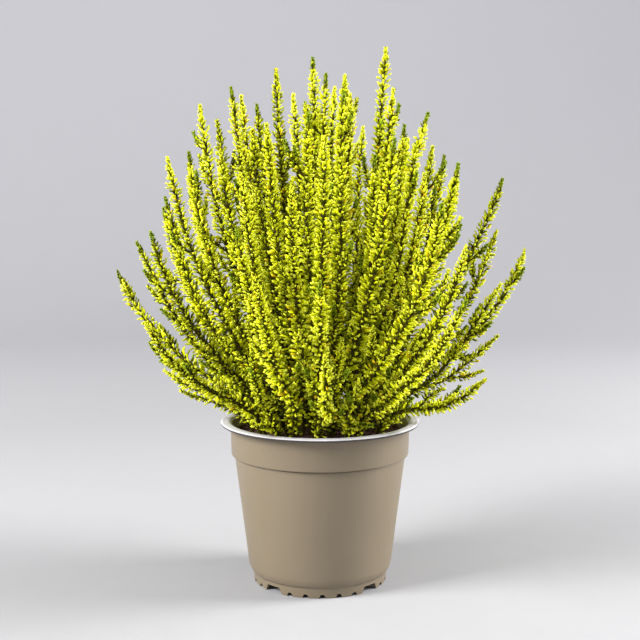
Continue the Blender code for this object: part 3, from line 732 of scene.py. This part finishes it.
def repeated(points, triangles, tone, side_shares, along):
    """Shape and map places of many like bodies, from their points, tones and one body's triangles."""
    span = 1.0 - LEAF_MAP_START - 2 * LEAF_MAP_HALF_WIDTH
    middle = LEAF_MAP_START + LEAF_MAP_HALF_WIDTH + span * tone
    u = middle[:, None] + LEAF_MAP_HALF_WIDTH * np.array(side_shares)[None, :]
    places = np.stack([u, np.broadcast_to(along, u.shape)], axis=2).reshape(-1, 2)
    starts = points.shape[1] * np.arange(len(points))
    every = (np.array(triangles)[None] + starts[:, None, None]).reshape(-1, 3)
    return points.reshape(-1, 3), every, places[every.ravel()]


def leaf_triangles():
    """Triangles of one leaf: base point 0, then two rings, then the tip."""
    faces = []
    for j in range(LEAF_SIDES):
        after = (j + 1) % LEAF_SIDES
        low, low_after = 1 + j, 1 + after
        high, high_after = low + LEAF_SIDES, low_after + LEAF_SIDES
        faces += [(0, low_after, low), (low, low_after, high_after), (low, high_after, high)]
        faces += [(high, high_after, 1 + 2 * LEAF_SIDES)]
    return faces


LEAF_SECTION = [
    (math.sin(math.tau * j / LEAF_SIDES), math.cos(math.tau * j / LEAF_SIDES)) for j in range(LEAF_SIDES)
]
LEAF_TRIANGLES = leaf_triangles()
SCALE_TRIANGLES = ((2, 1, 3), (0, 2, 3), (0, 1, 2), (1, 0, 3))


def scales(shoot, is_main):
    """Small keeled scale leaves on the stem, each with two sunken corners, a keel and a free tip."""
    chance = np.random.default_rng(SCALE_SEED + shoot["index"])
    top = above_soil(shoot["path"])[-1] - SCALE_LENGTH
    rows = np.arange(leafy_start(shoot, is_main), top, SCALE_PITCH)
    row = np.repeat(np.arange(len(rows)), SCALES_AROUND)
    count = len(row)
    level = rows[row] + SCALE_JITTER * SCALE_PITCH * chance.uniform(-1, 1, count)
    turn = math.tau * (np.tile(np.arange(SCALES_AROUND), len(rows)) + 0.5 * row) / SCALES_AROUND
    centre, tangent, outward, sideways = around_line(shoot, level, turn)
    size = chance.uniform(*SCALE_SIZES, count)[:, None]
    radius = stem_radius(top + SCALE_LENGTH - level)[:, None]
    foot = centre + SCALE_ROOT_SHARE * radius * outward
    half = SCALE_HALF_WIDTH * size * sideways
    onward = SCALE_LENGTH * size * tangent
    keel = centre + (radius + SCALE_KEEL * size) * outward + SCALE_KEEL_SHARE * onward
    tip = centre + (radius + SCALE_LIFT * size) * outward + onward
    points = np.stack([foot - half, foot + half, keel, tip], axis=1)
    tone = TONE_SCALE + TONE_SCALE_SPREAD * chance.normal(size=count)
    tone = np.clip(tone, TONE_LEAST, TONE_SCALE_MOST)
    return repeated(points, SCALE_TRIANGLES, tone, SCALE_MAP_SIDES, SCALE_MAP_PLACES)


def make_spray(number, spray, finishes):
    """One spray: its bark and all its leaves, kept inside the frame's box."""
    grown = [(shoot, shoot is spray[0]) for shoot in spray]
    grown += [(side, True) for shoot, is_main in grown for side in side_shoots(shoot, is_main)]
    width = BARK_WIDTH / len(grown)
    barks = [bark_tube(shoot, is_main, k, width) for k, (shoot, is_main) in enumerate(grown)]
    greens = [make(shoot, is_main) for shoot, is_main in grown for make in (scales, leaves)]
    points, triangles, places = joined(barks + greens)
    points = np.clip(points, np.array(CAD_BOX[0]), np.array(CAD_BOX[1]))
    bark_faces = sum(len(bark[1]) for bark in barks)
    is_green = np.arange(len(triangles)) >= bark_faces
    piece = triangle_object(f"leafy_spray_{number:02d}", points, triangles, is_green, finishes)
    layer = piece.data.uv_layers.new(name=MAP_NAME, do_init=False)
    layer.uv.foreach_set("vector", places.astype(np.float32).ravel())
    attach(piece, "root")
    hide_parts(f"spray_{number:02d}")


# Materials


# Colours along a leaf from its base to its tip, for each tone: the near-black bases are painted shade
# among the crowded leaves at the stem, and the whiter, bluer tips of the lime and bright tones are a
# painted highlight
GREEN_STOPS = ((0.0, (0.014, 0.018, 0.001)), (0.5, (0.11, 0.155, 0.004)), (1.0, (0.29, 0.40, 0.015)))
OLD_STOPS = ((0.0, (0.006, 0.006, 0.0005)), (0.5, (0.055, 0.064, 0.001)), (1.0, (0.25, 0.28, 0.003)))
LIME_STOPS = (
    (0.0, (0.008, 0.008, 0.0002)),
    (0.22, (0.100, 0.108, 0.0005)),
    (0.42, (0.66, 0.695, 0.001)),
    (0.72, (0.81, 0.855, 0.006)),
    (1.0, (0.77, 0.81, 0.08)),
)
BRIGHT_STOPS = ((0.0, (0.03, 0.03, 0.0005)), (0.36, (0.61, 0.63, 0.002)), (1.0, (0.75, 0.785, 0.10)))
ORANGE_STOPS = ((0.0, (0.05, 0.028, 0.001)), (0.45, (0.50, 0.33, 0.004)), (1.0, (0.90, 0.68, 0.02)))
# Colours of the later tones, and the tones over which they take over from the ones before
LEAF_COLOURS = (
    (OLD_STOPS, 0.08, 0.18),
    (LIME_STOPS, 0.28, 0.50),
    (BRIGHT_STOPS, 0.56, 0.76),
    (ORANGE_STOPS, 0.86, 0.90),
)
# Colours from the cracks to the high places of the rough materials
BARK_STOPS = ((0.3, (0.016, 0.009, 0.003)), (0.5, (0.055, 0.032, 0.008)), (0.75, (0.14, 0.09, 0.03)))
YOUNG_BARK = (0.055, 0.060, 0.002)
PEAT_STOPS = ((0.3, (0.012, 0.005, 0.004)), (0.52, (0.085, 0.036, 0.026)), (0.8, (0.30, 0.15, 0.11)))
RED_PEAT = (0.090, 0.030, 0.022)
FIBRE_STOPS = ((0.3, (0.04, 0.018, 0.010)), (0.6, (0.20, 0.10, 0.055)), (0.9, (0.38, 0.24, 0.14)))
# Three shades of each finish of the pot, and of its dust
TAUPE = ((0.182, 0.144, 0.092), (0.211, 0.168, 0.110), (0.161, 0.126, 0.079), (0.10, 0.075, 0.055))
PALE = ((0.54, 0.52, 0.56), (0.59, 0.57, 0.61), (0.49, 0.47, 0.51), (0.22, 0.16, 0.12))
# The lip's dark band is painted shadow under the flange's lip, in three shades and a dust colour
PAINTED_LIP_SHADOW = ((0.040, 0.033, 0.028), (0.055, 0.046, 0.040), (0.030, 0.025, 0.021), (0.08, 0.07, 0.06))
# The studio's sheet: two shades near the pot, one far away that is painted light standing in for a lamp
# on the wall, and the distances between which it fades
SHEET_NEAR = ((0.338, 0.336, 0.343), (0.351, 0.349, 0.356))
SHEET_FAR = (0.715, 0.71, 0.732)
SHEET_FADES = (0.5, 2.6)


def new_material(name):
    """A material with its node tree and shader."""
    made = bpy.data.materials.new(name)
    made.use_nodes = True
    return made, made.node_tree, made.node_tree.nodes["Principled BSDF"]


def add(tree, kind, values=(), **settings):
    """A node with its settings, and its inputs set or linked by name or number."""
    made = tree.nodes.new(kind)
    for name, value in settings.items():
        setattr(made, name, value)
    for name, value in dict(values).items():
        if isinstance(value, bpy.types.NodeSocket):
            tree.links.new(value, made.inputs[name])
        else:
            made.inputs[name].default_value = value
    return made


def ramp(tree, factor, stops):
    """A colour ramp with these (place, colour) stops."""
    made = add(tree, "ShaderNodeValToRGB", {"Fac": factor})
    elements = made.color_ramp.elements
    while len(elements) < len(stops):
        elements.new(0.5)
    for element, (place, colour) in zip(elements, stops):
        element.position = place
        element.color = (*colour, 1.0)
    return made.outputs["Color"]


def scaled(tree, value, low, high):
    """A value from 0 to 1 brought to the range from low to high."""
    made = add(tree, "ShaderNodeMapRange", {"Value": value, "To Min": low, "To Max": high})
    return made.outputs["Result"]


def narrowed(tree, value, low, high):
    """The range from low to high of a value brought to 0 to 1."""
    made = add(tree, "ShaderNodeMapRange", {"Value": value, "From Min": low, "From Max": high})
    return made.outputs["Result"]


def blended(tree, factor, first, second):
    """Two colours mixed, each a colour's numbers or a socket."""
    first, second = ((*c, 1.0) if isinstance(c, tuple) else c for c in (first, second))
    made = add(tree, "ShaderNodeMix", {0: factor, 6: first, 7: second}, data_type="RGBA")
    return made.outputs[2]


def noise_on(tree, coordinates, scale, detail=2.0, roughness=0.5):
    values = {"Vector": coordinates, "Scale": scale, "Detail": detail, "Roughness": roughness}
    return add(tree, "ShaderNodeTexNoise", values).outputs["Fac"]


def set_finish(tree, shader, colour, roughness, specular=None):
    tree.links.new(colour, shader.inputs["Base Color"])
    tree.links.new(roughness, shader.inputs["Roughness"])
    if specular is not None:
        shader.inputs["Specular IOR Level"].default_value = specular


def place_on_object(tree):
    return add(tree, "ShaderNodeTexCoord").outputs["Object"]


def stretched(tree, coordinates, factors):
    made = add(tree, "ShaderNodeMapping", {"Vector": coordinates, "Scale": factors})
    return made.outputs["Vector"]


def bumped(tree, shader, height, strength, distance):
    made = add(tree, "ShaderNodeBump", {"Height": height, "Strength": strength, "Distance": distance})
    tree.links.new(made.outputs["Normal"], shader.inputs["Normal"])


def leaf_material():
    """Leaves read their tone and the place along the leaf from their map."""
    made, tree, shader = new_material("heather_leaf")
    place = add(tree, "ShaderNodeUVMap", uv_map=MAP_NAME).outputs["UV"]
    parts = add(tree, "ShaderNodeSeparateXYZ", {"Vector": place})
    tone = narrowed(tree, parts.outputs["X"], LEAF_MAP_START, 1.0)
    along = parts.outputs["Y"]
    mottled = noise_on(tree, stretched(tree, place, (90.0, 5.0, 1.0)), 1.0, 3.0)
    shift = scaled(tree, mottled, -0.14, 0.14)
    reach = add(tree, "ShaderNodeMath", {0: along, 1: shift}, operation="ADD").outputs["Value"]
    colour = ramp(tree, reach, GREEN_STOPS)
    for stops, tone_from, tone_to in LEAF_COLOURS:
        colour = blended(tree, narrowed(tree, tone, tone_from, tone_to), colour, ramp(tree, reach, stops))
    # Sheen is kept faint here; the whiter leaf tips in the colour stops carry a painted highlight instead
    set_finish(tree, shader, colour, scaled(tree, mottled, 0.45, 0.70), 0.04)
    return made


def bark_material():
    """Red-brown bark with fine lengthwise cracks, greener in patches."""
    made, tree, shader = new_material("heather_bark")
    place = place_on_object(tree)
    streaks = noise_on(tree, stretched(tree, place, (1800.0, 1800.0, 300.0)), 1.0, 3.0)
    patches = noise_on(tree, place, 160.0, 2.0)
    bark = ramp(tree, streaks, BARK_STOPS)
    colour = blended(tree, scaled(tree, patches, 0.15, 0.75), bark, YOUNG_BARK)
    set_finish(tree, shader, colour, scaled(tree, streaks, 0.6, 0.85), 0.1)
    bumped(tree, shader, streaks, 0.5, 0.2 * MM)
    return made


def pot_material(name, shades):
    """Thin satin plastic: slightly uneven colour, fine grain and faint marks from handling."""
    made, tree, shader = new_material(name)
    place = place_on_object(tree)
    cloudy = noise_on(tree, place, 32.0, 3.0)
    drawn = noise_on(tree, stretched(tree, place, (160.0, 160.0, 14.0)), 1.0, 2.0)
    grain = noise_on(tree, place, 1500.0, 2.0)
    specks = noise_on(tree, place, 420.0, 4.0, 0.7)
    colour = blended(tree, cloudy, shades[0], shades[1])
    colour = blended(tree, scaled(tree, drawn, 0.0, 0.35), colour, shades[2])
    dusty = narrowed(tree, specks, 0.66, 0.74)
    colour = blended(tree, scaled(tree, dusty, 0.0, 0.35), colour, shades[3])
    set_finish(tree, shader, colour, scaled(tree, cloudy, 0.36, 0.50))
    bumped(tree, shader, grain, 0.12, 0.05 * MM)
    return made


def peat_material():
    """Dark crumbly peat with reddish patches."""
    made, tree, shader = new_material("moist_peat")
    place = place_on_object(tree)
    crumbs = noise_on(tree, place, 700.0, 5.0, 0.65)
    patches = noise_on(tree, place, 90.0, 2.0)
    dark = ramp(tree, crumbs, PEAT_STOPS)
    colour = blended(tree, scaled(tree, patches, 0.0, 0.4), dark, RED_PEAT)
    set_finish(tree, shader, colour, scaled(tree, patches, 0.75, 0.95))
    bumped(tree, shader, crumbs, 0.8, 0.6 * MM)
    return made


def fibre_material():
    made, tree, shader = new_material("peat_fibre")
    place = place_on_object(tree)
    streaks = noise_on(tree, place, 900.0, 3.0)
    set_finish(tree, shader, ramp(tree, streaks, FIBRE_STOPS), scaled(tree, streaks, 0.7, 0.9))
    return made


def floor_material():
    """A matt studio sheet with faint unevenness, painted paler towards the wall as painted light in place
    of a lamp lighting the wall.
    """
    made, tree, shader = new_material("studio_sheet")
    place = place_on_object(tree)
    out = add(tree, "ShaderNodeVectorMath", {0: place}, operation="LENGTH").outputs["Value"]
    fibres = noise_on(tree, place, 60.0, 3.0)
    near = blended(tree, fibres, *SHEET_NEAR)
    # Painted light: the sheet grows paler towards the wall in place of a lamp lighting it
    colour = blended(tree, narrowed(tree, out, *SHEET_FADES), near, SHEET_FAR)
    set_finish(tree, shader, colour, scaled(tree, fibres, 0.9, 1.0), 0.0)
    return made


# Pot


CORNER_POINTS = 4
POT_FINE_SEGMENTS = 180
MOST_ROUNDING = 0.45
SHARP_ANGLE_DEG = 32.0
LIP_ROUNDING = 0.45 * MM
# Height above the flange's underside up to which the lip is painted dark as shadow
LIP_SHADOW_BAND_TOP = 0.75 * MM
LEDGE_SLOPE = 0.5 * MM
CREASE_DEPTH = 0.3 * MM
CREASE_HEIGHT = 0.5 * MM


def rounded(corners):
    """An outline whose corners (radius, z, rounding, finish) are replaced by small arcs."""
    points = []
    for k, (radius, z, rounding, finish) in enumerate(corners):
        here = np.array((radius, z))
        if rounding == 0.0 or k in (0, len(corners) - 1):
            points.append((radius, z, finish))
            continue
        back = np.array(corners[k - 1][:2]) - here
        ahead = np.array(corners[k + 1][:2]) - here
        start, end = (
            here + way * min(rounding / np.linalg.norm(way), MOST_ROUNDING) for way in (back, ahead)
        )
        for n in range(CORNER_POINTS + 1):
            t = n / CORNER_POINTS
            at = (1 - t) ** 2 * start + 2 * t * (1 - t) * here + t * t * end
            points.append((at[0], at[1], finish))
    return points


def pot_corners():
    """The pot's outline from the floor's underside out, up, over the rim and down inside."""
    lip_z = POT_HEIGHT - FLANGE_THICKNESS
    ledge_z = COLLAR_FOOT_Z - LEDGE_SLOPE
    # Finish 2 is painted shadow under the lip: a dark band round the lip's lower edge and up its outer
    # face
    out, pale, edge = 0, 1, 2
    outside = (
        (0.0, FLOOR_Z, 0.0, out),
        (FOOT_RADIUS - FOOT_WALL, FLOOR_Z, 0.8 * MM, out),
        (FOOT_RADIUS - FOOT_WALL, 0.0, 0.2 * MM, out),
        (FOOT_RADIUS, 0.0, 0.25 * MM, out),
        (FOOT_TOP_RADIUS, FOOT_TOP_Z, 0.5 * MM, out),
        (SHOULDER_RADIUS, SHOULDER_Z, 0.9 * MM, out),
        (BODY_FOOT_RADIUS, BODY_FOOT_Z, 1.6 * MM, out),
        (BODY_TOP_RADIUS, ledge_z - CREASE_HEIGHT, 0.15 * MM, out),
        (BODY_TOP_RADIUS - CREASE_DEPTH, ledge_z, 0.1 * MM, out),
        (COLLAR_FOOT_RADIUS, COLLAR_FOOT_Z, 0.5 * MM, out),
        (COLLAR_TOP_RADIUS, lip_z, 0.9 * MM, out),
        (RIM_RADIUS - FLANGE_ROUNDING / 2, lip_z - FLANGE_LIP_DROP, 0.2 * MM, edge),
        (RIM_RADIUS, lip_z + FLANGE_LIP_DROP, 0.2 * MM, edge),
        (RIM_RADIUS, lip_z + LIP_SHADOW_BAND_TOP, 0.0, pale),
        (RIM_RADIUS - FLANGE_ROUNDING, POT_HEIGHT, LIP_ROUNDING, pale),
        (COLLAR_TOP_RADIUS + FLANGE_ROUNDING, POT_HEIGHT, 1.2 * MM, pale),
    )
    inside = (
        (COLLAR_TOP_RADIUS - WALL, POT_HEIGHT - 1.2 * WALL, 1.0 * MM, pale),
        (COLLAR_FOOT_RADIUS - WALL, COLLAR_FOOT_Z + 0.4 * WALL, 0.5 * MM, pale),
        (BODY_TOP_RADIUS - WALL, ledge_z + 0.2 * WALL, 0.3 * MM, pale),
        (BODY_FOOT_RADIUS - WALL, BODY_FOOT_Z + 0.2 * WALL, 1.0 * MM, pale),
        (FOOT_TOP_RADIUS - WALL, FLOOR_TOP_Z + 0.9 * WALL, 0.5 * MM, pale),
        (FOOT_RADIUS - FOOT_WALL, FLOOR_TOP_Z, 0.5 * MM, pale),
        (0.0, FLOOR_TOP_Z, 0.0, pale),
    )
    return outside + inside


def turned_mesh(name, outline, segments):
    """A closed body turned about Z from (radius, z, finish) points whose ends lie on the axis."""
    points = [(0.0, 0.0, outline[0][1])]
    rows = outline[1:-1]
    for radius, z, _ in rows:
        points += ring(radius, z, segments)
    points.append((0.0, 0.0, outline[-1][1]))
    faces = turned_faces(len(rows), segments)
    mesh = bpy.data.meshes.new(name)
    mesh.from_pydata(points, [], [face for _, face in faces])
    mesh.polygons.foreach_set("material_index", [rows[number][2] for number, _ in faces])
    return mesh


def notch_outline(foot, shoulder, top, height):
    """A notch in the (sideways, z) plane, from below the foot ring up, by its half widths."""
    return (
        (-foot, CUT_BELOW), (foot, CUT_BELOW), (foot, shoulder),
        (top, height), (-top, height), (-foot, shoulder),
    )


def notch_cutter():
    """The notches of the foot ring and the drain holes, as one object of closed prisms."""
    wide = notch_outline(WIDE_NOTCH_WIDTH / 2, 0.0, WIDE_NOTCH_TOP_WIDTH / 2, WIDE_NOTCH_HEIGHT)
    small = notch_outline(
        SMALL_NOTCH_WIDTH / 2, SMALL_NOTCH_SHOULDER, SMALL_NOTCH_WIDTH / 4, SMALL_NOTCH_HEIGHT
    )
    bm = bmesh.new()
    quarter_deg = 360 / QUARTERS
    for quarter in range(QUARTERS):
        wide_deg = FIRST_WIDE_NOTCH_DEG - 90 + quarter * quarter_deg
        add_notch(bm, wide, wide_deg)
        for k in range(SMALL_NOTCHES):
            offset_deg = (k - (SMALL_NOTCHES - 1) / 2) * SMALL_NOTCH_PITCH_DEG
            add_notch(bm, small, wide_deg + quarter_deg / 2 + offset_deg)
    for x, y, _ in ring(DRAIN_CIRCLE_RADIUS, 0.0, DRAIN_HOLES):
        heights = (FLOOR_Z - WALL, FLOOR_TOP_Z + WALL)
        add_prism(bm, *(ring(DRAIN_HOLE_RADIUS, z, DRAIN_SIDES, (x, y)) for z in heights))
    bmesh.ops.recalc_face_normals(bm, faces=bm.faces)
    mesh = bpy.data.meshes.new("pot_cutter")
    bm.to_mesh(mesh)
    bm.free()
    return in_scene("pot_cutter", mesh)


def add_prism(bm, low, high):
    """A closed prism between two outlines of like points."""
    low, high = ([bm.verts.new(point) for point in outline] for outline in (low, high))
    bm.faces.new(low[::-1])
    bm.faces.new(high)
    for k in range(len(low)):
        after = (k + 1) % len(low)
        bm.faces.new((low[k], low[after], high[after], high[k]))


def add_notch(bm, outline, angle_deg):
    """A notch's prism, pushed through the foot ring at this angle."""
    angle = math.radians(angle_deg)
    out = Vector((math.cos(angle), math.sin(angle), 0.0))
    side = Vector((-out.y, out.x, 0.0))
    ends = []
    for reach in (FOOT_RADIUS - 4 * FOOT_WALL, FOOT_RADIUS + 2 * FOOT_WALL):
        ends.append([out * reach + side * x + Vector((0, 0, z)) for x, z in outline])
    add_prism(bm, *ends)


def make_pot():
    mesh = turned_mesh("nursery_pot", rounded(pot_corners()), POT_FINE_SEGMENTS)
    # The third finish is painted shadow under the flange's lip
    for name, shades in (("pot_taupe", TAUPE), ("pot_pale_side", PALE), ("pot_painted_lip_shadow", PAINTED_LIP_SHADOW)):
        mesh.materials.append(pot_material(name, shades))
    pot = in_scene("nursery_pot", mesh)
    cutter = notch_cutter()
    boolean = pot.modifiers.new("notches_and_drains", "BOOLEAN")
    boolean.operation = "DIFFERENCE"
    boolean.object = cutter
    boolean.solver = "EXACT"
    depsgraph = bpy.context.evaluated_depsgraph_get()
    finished = bpy.data.meshes.new_from_object(pot.evaluated_get(depsgraph))
    pot.modifiers.clear()
    pot.data = finished
    bpy.data.objects.remove(cutter)
    finished.shade_smooth()
    finished.set_sharp_from_angle(angle=math.radians(SHARP_ANGLE_DEG))
    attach(pot, "root")
    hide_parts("pot")


# Peat


PEAT_SEED = 31
PEAT_SEGMENTS = 160
PEAT_RINGS = 60
PEAT_LUMPS = 1.3 * MM
PEAT_LUMP_SIZE = 9.0 * MM
PEAT_GRIT = 0.55 * MM
PEAT_GRIT_SIZE = 2.2 * MM
CRUMBS = 1100
CRUMB_RADII = (0.45 * MM, 1.5 * MM)
CRUMB_RADIUS_POWER = 2.5
CRUMB_DENTS = (0.65, 1.2)
CRUMB_SQUASH = (0.6, 1.1)
CRUMB_RAISE = 0.25
CRUMB_EDGE = 2.0 * MM
FIBRES = 240
FIBRE_LENGTHS = (4.0 * MM, 13.0 * MM)
FIBRE_RADIUS = 0.16 * MM
FIBRE_SHARES = (0.5, 1.0, 0.3)
FIBRE_STEPS = 6
FIBRE_LEAST_POINTS = 3
FIBRE_BEND = 0.35
FIBRE_LIFT = 0.3 * MM
FIBRE_START_EDGE = 5.0 * MM
FIBRE_EDGE = 1.0 * MM


def peat_top():
    return COLLAR_TOP_RADIUS - WALL - 2 * FIT_GAP


def peat_height(x, y):
    """Height of the rough surface: lumps, and grit on them."""
    reach = math.hypot(x, y)
    lumps = noise.noise(Vector((x, y, 0.0)) / PEAT_LUMP_SIZE) * PEAT_LUMPS
    grit = noise.noise(Vector((x, y, 0.5)) / PEAT_GRIT_SIZE) * PEAT_GRIT
    return soil_height(reach) + lumps + grit


def inner_wall():
    """Radius and height of the corners inside the pot, from the rim down to the floor's edge."""
    return [(radius, z) for radius, z, _, _ in pot_corners()[-7:-1]]


def make_peat_plug():
    """Points and triangles of the plug: rough on top, smooth where it fills the pot."""
    walls = [(radius - FIT_GAP, z + FIT_GAP) for radius, z in inner_wall()[::-1]][:-1]
    points = [(0.0, 0.0, FLOOR_TOP_Z + FIT_GAP)]
    for radius, z in walls:
        points += ring(radius, z, PEAT_SEGMENTS)
    for k in range(PEAT_RINGS):
        level = ring(peat_top() * (1 - k / PEAT_RINGS), 0.0, PEAT_SEGMENTS)
        points += [(x, y, peat_height(x, y)) for x, y, _ in level]
    points.append((0.0, 0.0, peat_height(0.0, 0.0)))
    triangles = []
    for _, face in turned_faces(len(walls) + PEAT_RINGS, PEAT_SEGMENTS):
        triangles += [(face[0], *face[n : n + 2]) for n in range(1, len(face) - 1)]
    return np.array(points), np.array(triangles)


def place_on_peat(chance, edge):
    """A random place on the peat, at least this far from its edge."""
    reach = (peat_top() - edge) * math.sqrt(chance.random())
    turn = math.tau * chance.random()
    return reach * math.cos(turn), reach * math.sin(turn)


def make_crumbs(chance):
    """Small rough lumps that lie on the peat, as dented balls of 20 triangles."""
    bm = bmesh.new()
    bmesh.ops.create_icosphere(bm, subdivisions=1, radius=1.0)
    ball = np.array([vertex.co for vertex in bm.verts])
    ball_faces = np.array([[vertex.index for vertex in face.verts] for face in bm.faces])
    bm.free()
    crumbs = []
    for _ in range(CRUMBS):
        x, y = place_on_peat(chance, CRUMB_EDGE)
        size = between(CRUMB_RADII, chance.random() ** CRUMB_RADIUS_POWER)
        dents = chance.uniform(*CRUMB_DENTS, (len(ball), 1))
        squash = chance.uniform(*CRUMB_SQUASH, 3)
        lump = ball * dents * squash * size + (x, y, peat_height(x, y) + CRUMB_RAISE * size)
        crumbs.append((lump, ball_faces))
    return crumbs


def fibre_line(chance):
    """Points of a bent fibre on the peat, up to the peat's edge."""
    x, y = place_on_peat(chance, FIBRE_START_EDGE)
    heading = math.tau * chance.random()
    bend = chance.normal(0.0, FIBRE_BEND)
    step = between(FIBRE_LENGTHS, chance.random()) / FIBRE_STEPS
    line = []
    for _ in range(FIBRE_STEPS + 1):
        if math.hypot(x, y) > peat_top() - FIBRE_EDGE:
            break
        line.append((x, y, peat_height(x, y) + 2 * FIBRE_RADIUS + FIBRE_LIFT * chance.random()))
        heading += bend
        x, y = x + step * math.cos(heading), y + step * math.sin(heading)
    return np.array(line)


def fibre_tube(line):
    """Points and triangles of a closed three-sided tube along a fibre's line."""
    along = np.gradient(line, axis=0)
    side = unit(np.cross(along, (0.0, 0.0, 1.0)))
    up = unit(np.cross(side, along))
    places = (0, 1, len(line) - 1)
    thick = FIBRE_RADIUS * np.interp(np.arange(len(line)), places, FIBRE_SHARES)[:, None]
    turns = (0.0, math.tau / 3, 2 * math.tau / 3)
    sides = [line + thick * (math.cos(turn) * side + math.sin(turn) * up) for turn in turns]
    last = 3 * (len(line) - 1)
    triangles = [(0, 2, 1), (last, last + 1, last + 2)]
    for low in range(last):
        after = low - 2 if low % 3 == 2 else low + 1
        triangles += [(low, after, after + 3), (low, after + 3, low + 3)]
    return np.stack(sides, axis=1).reshape(-1, 3), np.array(triangles)


def make_peat():
    chance = np.random.default_rng(PEAT_SEED)
    shapes = [(shape, 0) for shape in (make_peat_plug(), *make_crumbs(chance))]
    lines = [fibre_line(chance) for _ in range(FIBRES)]
    shapes += [(fibre_tube(line), 1) for line in lines if len(line) >= FIBRE_LEAST_POINTS]
    points, triangles, numbers = joined(
        (own, faces, np.full(len(faces), number)) for (own, faces), number in shapes
    )
    peat = triangle_object("peat", points, triangles, numbers, (peat_material(), fibre_material()))
    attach(peat, "root")
    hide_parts("potting_soil")


# Studio


CAMERA_DISTANCE = 640.0 * MM
CAMERA_HEIGHT = 216.0 * MM
CAMERA_PITCH_DEG = 6.3
CAMERA_FOV_DEG = 30.6
SWEEP_FLAT_RADIUS = 1.1
SWEEP_BEND = 1.6
SWEEP_HEIGHT = 2.4
SWEEP_STEPS = 24
SWEEP_SEGMENTS = 96
LIGHTS_AIM = Vector((0.0, 0.0, 0.13))
# Name, place, size and power of each light
LIGHTS = (
    ("key", (-1.17, -0.56, 0.85), (0.6, 0.7), 45.0),
    ("side", (1.15, 0.06, 0.70), (0.5, 1.0), 36.0),
    ("top", (-0.15, -0.2, 1.6), (1.0, 1.0), 4.0),
)
AMBIENT = (0.93, 0.94, 1.0)
AMBIENT_STRENGTH = 0.38


def make_sweep():
    """A round seamless studio floor that bends up into a wall all around, seen from inside."""
    steps = [math.radians(90.0) * k / SWEEP_STEPS for k in range(SWEEP_STEPS + 1)]
    bend = [
        (SWEEP_FLAT_RADIUS + SWEEP_BEND * math.sin(turn), SWEEP_BEND * (1.0 - math.cos(turn)))
        for turn in steps
    ]
    profile = bend + [(SWEEP_FLAT_RADIUS + SWEEP_BEND, SWEEP_HEIGHT)]
    points = [(0.0, 0.0, 0.0)]
    for radius, z in profile:
        points += ring(radius, z, SWEEP_SEGMENTS)
    turned = turned_faces(len(profile), SWEEP_SEGMENTS)
    faces = [face[::-1] for number, face in turned if number < len(profile) - 1]
    mesh = bpy.data.meshes.new("studio_sweep")
    mesh.from_pydata(points, [], faces)
    mesh.shade_smooth()
    mesh.materials.append(floor_material())
    in_scene("studio_sweep", mesh)


def make_light(name, place, size, power):
    light = bpy.data.lights.new(name, "AREA")
    light.shape = "RECTANGLE"
    light.size, light.size_y = size
    light.energy = power
    obj = in_scene(name, light)
    obj.location = place
    obj.rotation_euler = (LIGHTS_AIM - Vector(place)).to_track_quat("-Z", "Y").to_euler()


def make_lights():
    for light in LIGHTS:
        make_light(*light)
    world = bpy.data.worlds.new("studio")
    world.use_nodes = True
    background = world.node_tree.nodes["Background"]
    background.inputs["Color"].default_value = (*AMBIENT, 1.0)
    background.inputs["Strength"].default_value = AMBIENT_STRENGTH
    bpy.context.scene.world = world


def make_camera():
    data = bpy.data.cameras.new("camera")
    data.sensor_fit = "HORIZONTAL"
    data.angle = math.radians(CAMERA_FOV_DEG)
    camera = in_scene("camera", data)
    camera.location = (0.0, -CAMERA_DISTANCE, CAMERA_HEIGHT)
    camera.rotation_euler = (math.radians(90.0 - CAMERA_PITCH_DEG), 0.0, 0.0)
    bpy.context.scene.camera = camera


def make_plant():
    finishes = (bark_material(), leaf_material())
    for number, spray in enumerate(grow(), start=1):
        make_spray(number, spray, finishes)


make_camera()
make_lights()
make_sweep()
make_pot()
make_peat()
make_plant()
bpy.context.scene.view_settings.view_transform = "Standard"
